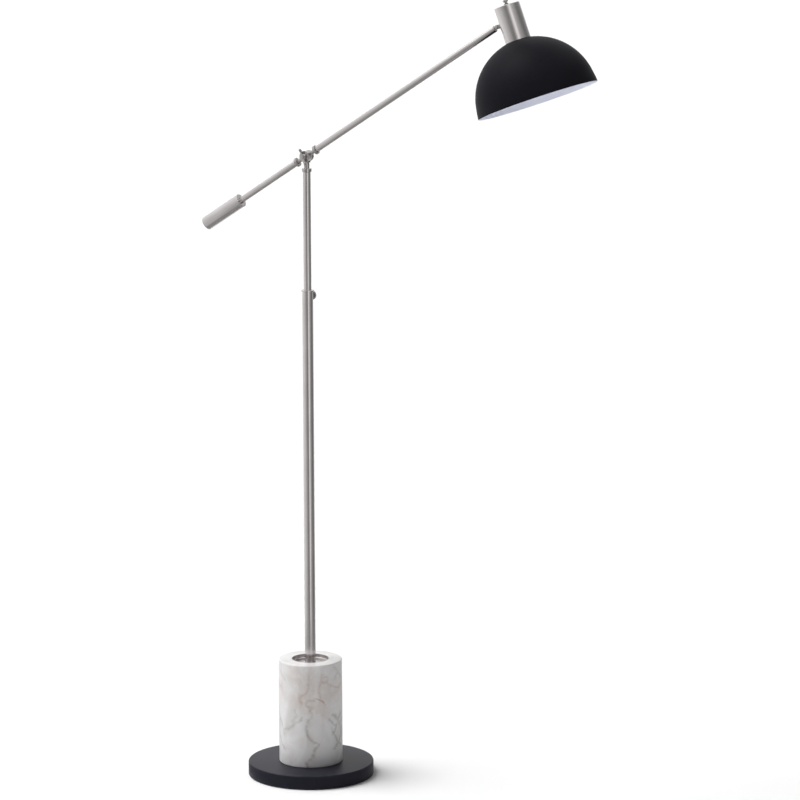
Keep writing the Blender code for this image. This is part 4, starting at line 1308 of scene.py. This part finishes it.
@dataclass
class Shade:
    """The spun dome: black outside, white enamel inside, with a turned rim."""

    sphere: float = 118.0 * MM
    rim: float = 119.5 * MM
    rim_drop: float = 5.0 * MM
    wall: float = 1.2 * MM
    hole: float = 20.5 * MM
    cup_radius: float = 25.0 * MM
    cup_below: float = 38.0 * MM
    lean_deg: float = 10.0
    arcs: int = 40

    @property
    def middle(self) -> float:
        """The height of the sphere's centre on the cup's centre line."""
        return -self.cup_below - math.sqrt(self.sphere**2 - self.cup_radius**2)

    def line(self, inset: float) -> Profile:
        """Give the dome's profile from its top hole to its rim, moved inwards by inset."""
        radius = self.sphere - inset
        start = 90 - math.degrees(math.asin(self.hole / radius))
        points: Profile = []
        for k in range(self.arcs + 1):
            angle = math.radians(start + (self.lean_deg - start) * k / self.arcs)
            points.append((radius * math.cos(angle), self.middle + radius * math.sin(angle)))
        points.append((self.rim - inset - 0.9 * MM, self.middle + self.sphere * math.sin(math.radians(3))))
        return points

    def build(self, shop: Workshop, places: Places) -> None:
        """Build the dome with its two enamels."""
        outer, inner = self.line(0), self.line(self.wall)
        foot = self.middle - self.rim_drop
        hem = trace(
            [
                (self.rim, foot + 2.0 * MM, 0),
                (self.rim, foot, 0.5 * MM),
                (self.rim - self.wall, foot, 0.5 * MM),
                (self.rim - self.wall, foot + 2.0 * MM, 0),
            ]
        )
        shape = spin(outer + hem + list(reversed(inner)), 256)
        centre = places.head(places.cup)
        dome = shop.piece("shade_fine", shape, Slot.SHADE_BLACK, Body.HEAD, centre, ("shade",))
        dome.data.materials.append(WHITE_ENAMEL.build())
        ball = Vector((0, 0, self.middle))
        for face in dome.data.polygons:
            face.material_index = 1 if face.normal.dot(face.center - ball) < 0 else 0


@dataclass
class GlobeBulb:
    """The opal globe bulb in the lamp holder."""

    globe: float = 30.0 * MM
    glass_wall: float = 0.8 * MM
    neck: float = 12.8 * MM
    neck_top: float = -41.4 * MM
    neck_foot: float = -66.0 * MM

    def build(self, shop: Workshop, places: Places) -> None:
        """Build the globe and its neck."""
        centre = places.head(places.cup)
        ball = self.neck_foot - self.globe
        outer, inner = self.globe, self.globe - self.glass_wall
        points: Profile = [(self.neck, self.neck_top), (self.neck, self.neck_foot + 3 * MM)]
        start = math.degrees(math.acos(self.neck / outer))
        for k in range(1, 49):
            angle = math.radians(start - (start + 90) * k / 48)
            points.append((outer * math.cos(angle), ball + outer * math.sin(angle)))
        points[-1] = (0, ball - outer)
        points.append((0, ball - inner))
        start = math.degrees(math.acos((self.neck - self.glass_wall) / inner))
        for k in range(1, 33):
            angle = math.radians(-90 + (start + 90) * k / 32)
            points.append((inner * math.cos(angle), ball + inner * math.sin(angle)))
        points.append((self.neck - self.glass_wall, self.neck_top))
        shape = spin(points, 128)
        shop.piece("globe_bulb", shape, Slot.OPAL, Body.HEAD, centre, ("bulb_glass",))


# ---------------------------------------------------------------- studio


@dataclass
class Studio:
    """Plain pale floor and soft studio light, set up round the direction that the lamp is seen from.

    The surroundings and the ring of reflector panels are given as levels by direction, in degrees
    from the viewer, with the viewer's left negative.
    """

    spot: tuple[float, float, float] = (3.751, -6.4944, 2.176)
    heading_deg: float = 28.612
    pitch_deg: float = 10.615
    roll_deg: float = -0.168
    lens_mm: float = 171.8
    sensor_mm: float = 36.0
    floor_half: float = 60.0
    seen_from_deg: float = -60.0
    panel_radius: float = 2.5
    panel_height: float = 3.2
    panel_lift: float = 0.001
    floor_reach: tuple[float, float] = (0.6, 1.1)
    floor_level: float = 0.35
    ceiling_reach: tuple[float, float] = (0.4, 1.3)
    ceiling_level: float = 1.4
    ceiling_middle: float = 0.35
    sun_power: float = 2.5
    sun_rise_deg: float = 60.0
    sun_round_deg: float = -100.0
    world_levels: tuple[tuple[float, float], ...] = (
        (-180, 0.7),
        (-120, 0.9),
        (-60, 0.75),
        (-15, 0.12),
        (30, 0.08),
        (60, 0.22),
        (100, 0.1),
        (180, 0.7),
    )
    panel_levels: tuple[tuple[float, float], ...] = (
        (-180, 1.0),
        (-120, 1.0),
        (-70, 0.75),
        (-35, 0.42),
        (-12, 0.2),
        (2, 0.4),
        (18, 1.3),
        (34, 0.55),
        (78, 0.18),
        (115, 0.3),
        (150, 0.9),
        (180, 1.0),
    )

    def build(self) -> None:
        """Build the floor, the surroundings, the panels, the main light and the camera."""
        scene = bpy.context.scene
        scene.view_settings.view_transform = "Standard"
        self.floor()
        self.surroundings(scene)
        self.panels()
        self.sun(scene)
        self.camera(scene)

    def floor(self) -> None:
        """Lay the floor."""
        shape = bmesh.new()
        h = self.floor_half
        shape.faces.new([shape.verts.new((x, y, 0)) for x, y in ((-h, -h), (h, -h), (h, h), (-h, h))])
        floor = bpy.data.objects.new("studio_floor", as_mesh("studio_floor", shape))
        material, graph, shader = new_finish("pale_floor")
        grain = graph.add("TexNoise", None, Vector=local_points(graph), Scale=3.0, Detail=2.0).outputs["Fac"]
        tone = graph.ramp(grain, [(0.3, "#F4F4F4"), (0.7, "#F6F6F6")])
        put(graph, shader, Base_Color=tone, Roughness=0.9, Specular_IOR_Level=0.0)
        floor.data.materials.append(material)
        bpy.context.scene.collection.objects.link(floor)

    def level_by_direction(
        self, graph: Graph, vector: bpy.types.NodeSocket, levels: tuple[tuple[float, float], ...]
    ) -> bpy.types.NodeSocket:
        """Turn a direction or a place into a light level by its compass bearing.

        Args:
            graph: The node graph to add to.
            vector: The direction from the lamp.
            levels: Degrees from the viewer, and the level there.

        Returns:
            The level's socket.
        """
        parts = graph.add("SeparateXYZ", None, Vector=vector)
        angle = graph.add(
            "Math", {"operation": "ARCTAN2"}, i0=parts.outputs["Y"], i1=parts.outputs["X"]
        ).outputs[0]
        start = math.radians(self.seen_from_deg - 180)
        shifted = graph.add("Math", {"operation": "SUBTRACT"}, i0=angle, i1=start).outputs[0]
        turns = graph.add("Math", {"operation": "DIVIDE"}, i0=shifted, i1=math.tau).outputs[0]
        part = graph.add("Math", {"operation": "FRACT"}, i0=turns).outputs[0]
        ramp = graph.add("ValToRGB", None, Fac=part)
        elements = ramp.color_ramp.elements
        while len(elements) < len(levels):
            elements.new(0.5)
        for element, (degrees, level) in zip(elements, levels):
            element.position = degrees / 360 + 0.5
            element.color = (level, level, level, 1.0)
        return ramp.outputs["Color"]

    def surroundings(self, scene: bpy.types.Scene) -> None:
        """Light the scene softly, more from the left than from the right."""
        world = bpy.data.worlds.new("studio")
        scene.world = world
        world.use_nodes = True
        graph = Graph(world.node_tree)
        way = graph.add("TexCoord").outputs["Generated"]
        level = self.level_by_direction(graph, way, self.world_levels)
        graph.tree.links.new(level, world.node_tree.nodes["Background"].inputs["Color"])

    def panels(self) -> None:
        """Stand a ring of pale and grey panels round the lamp, with a low ceiling, for the metal to reflect.

        Only reflections see them, so they hide nothing from view and throw no shadow.
        """
        r, top, low = self.panel_radius, self.panel_height, self.panel_lift
        shape = spin([(0, top), (r, top), (r, low), (0.135, low)], 128, closed=False)
        ring = bpy.data.objects.new("reflector_panels", as_mesh("reflector_panels", shape))
        material = bpy.data.materials.new("reflector_panel")
        material.use_nodes = True
        graph = Graph(material.node_tree)
        place = local_points(graph)
        level = self.level_by_direction(graph, place, self.panel_levels)
        height = graph.add("SeparateXYZ", None, Vector=place).outputs["Z"]
        flat = graph.add("VectorMath", {"operation": "MULTIPLY"}, i0=place, i1=(1.0, 1.0, 0.0)).outputs[0]
        out = graph.add("VectorMath", {"operation": "LENGTH"}, i0=flat).outputs["Value"]
        layers = (
            ("LESS_THAN", low * 2, self.floor_reach, 0.0, self.floor_level),
            ("GREATER_THAN", top * 0.99, self.ceiling_reach, 1.0, self.ceiling_level),
            ("GREATER_THAN", top * 0.99, self.ceiling_reach, 0.0, self.ceiling_middle),
        )
        for side, limit, (near, far), at_far, tone in layers:
            here = graph.add("Math", {"operation": side}, i0=height, i1=limit).outputs[0]
            spread = graph.add(
                "MapRange", None, Value=out, From_Min=near, From_Max=far, To_Min=1 - at_far, To_Max=at_far
            ).outputs["Result"]
            part = graph.add("Math", {"operation": "MULTIPLY"}, i0=here, i1=spread).outputs[0]
            level = graph.add(
                "Mix", {"data_type": "RGBA"}, i0=part, i6=level, i7=(tone, tone, tone, 1.0)
            ).outputs[2]
        glow = graph.add("Emission", None, Color=level, Strength=1.0)
        end = material.node_tree.nodes["Material Output"]
        graph.tree.links.new(glow.outputs[0], end.inputs["Surface"])
        ring.data.materials.append(material)
        bpy.context.scene.collection.objects.link(ring)
        ring.visible_camera = False
        ring.visible_diffuse = False
        ring.visible_transmission = False
        ring.visible_volume_scatter = False
        ring.visible_shadow = False

    def sun(self, scene: bpy.types.Scene) -> None:
        """Add one soft main light from high on the left."""
        light = bpy.data.lights.new("main_light", "SUN")
        light.energy = self.sun_power
        light.angle = math.radians(35)
        lamp = bpy.data.objects.new("main_light", light)
        turn = math.radians(self.seen_from_deg + self.sun_round_deg)
        rise = math.radians(self.sun_rise_deg)
        source = Vector((math.cos(turn) * math.cos(rise), math.sin(turn) * math.cos(rise), math.sin(rise)))
        lamp.rotation_euler = source.to_track_quat("Z", "Y").to_euler()
        scene.collection.objects.link(lamp)

    def camera(self, scene: bpy.types.Scene) -> None:
        """Stand the camera at the right front, a little above the lamp's pivot."""
        turn, pitch, roll = (math.radians(v) for v in (self.heading_deg, self.pitch_deg, self.roll_deg))
        ahead = Vector(
            (-math.sin(turn) * math.cos(pitch), math.cos(turn) * math.cos(pitch), -math.sin(pitch))
        )
        level = Vector((math.cos(turn), math.sin(turn), 0))
        upright = level.cross(ahead)
        right = level * math.cos(roll) + upright * math.sin(roll)
        up = upright * math.cos(roll) - level * math.sin(roll)
        data = bpy.data.cameras.new("viewer")
        data.lens = self.lens_mm
        data.sensor_width = self.sensor_mm
        data.clip_end = 500
        camera = bpy.data.objects.new("viewer", data)
        camera.matrix_world = axes(Vector(self.spot), right, up, -ahead)
        scene.collection.objects.link(camera)
        scene.camera = camera


# ---------------------------------------------------------------- the lamp


def dress_inner_pieces(finishes: dict[Slot, bpy.types.Material]) -> None:
    """Give the solids that are shown as they are the same finishes as the new pieces."""
    for node in frame["nodes"].values():
        for material_slot in node.material_slots:
            for slot, finish in finishes.items():
                if material_slot.material and material_slot.material.name.split(".")[0] == slot.value:
                    material_slot.material = finish


def main() -> None:
    """Build the lamp's looks and the studio."""
    logging.basicConfig(level=logging.INFO, format="%(message)s")
    finishes = all_finishes()
    shop = Workshop(finishes)
    places = Places()
    dress_inner_pieces(finishes)
    Base().build(shop)
    Marble().build(shop)
    LowerPole().build(shop)
    UpperPole().build(shop)
    for assembly in (Pivot(), Arm(), HeadJoint(), Cup(), Shade(), GlobeBulb()):
        assembly.build(shop, places)
    Studio().build()


if __name__ == "__main__":
    main()
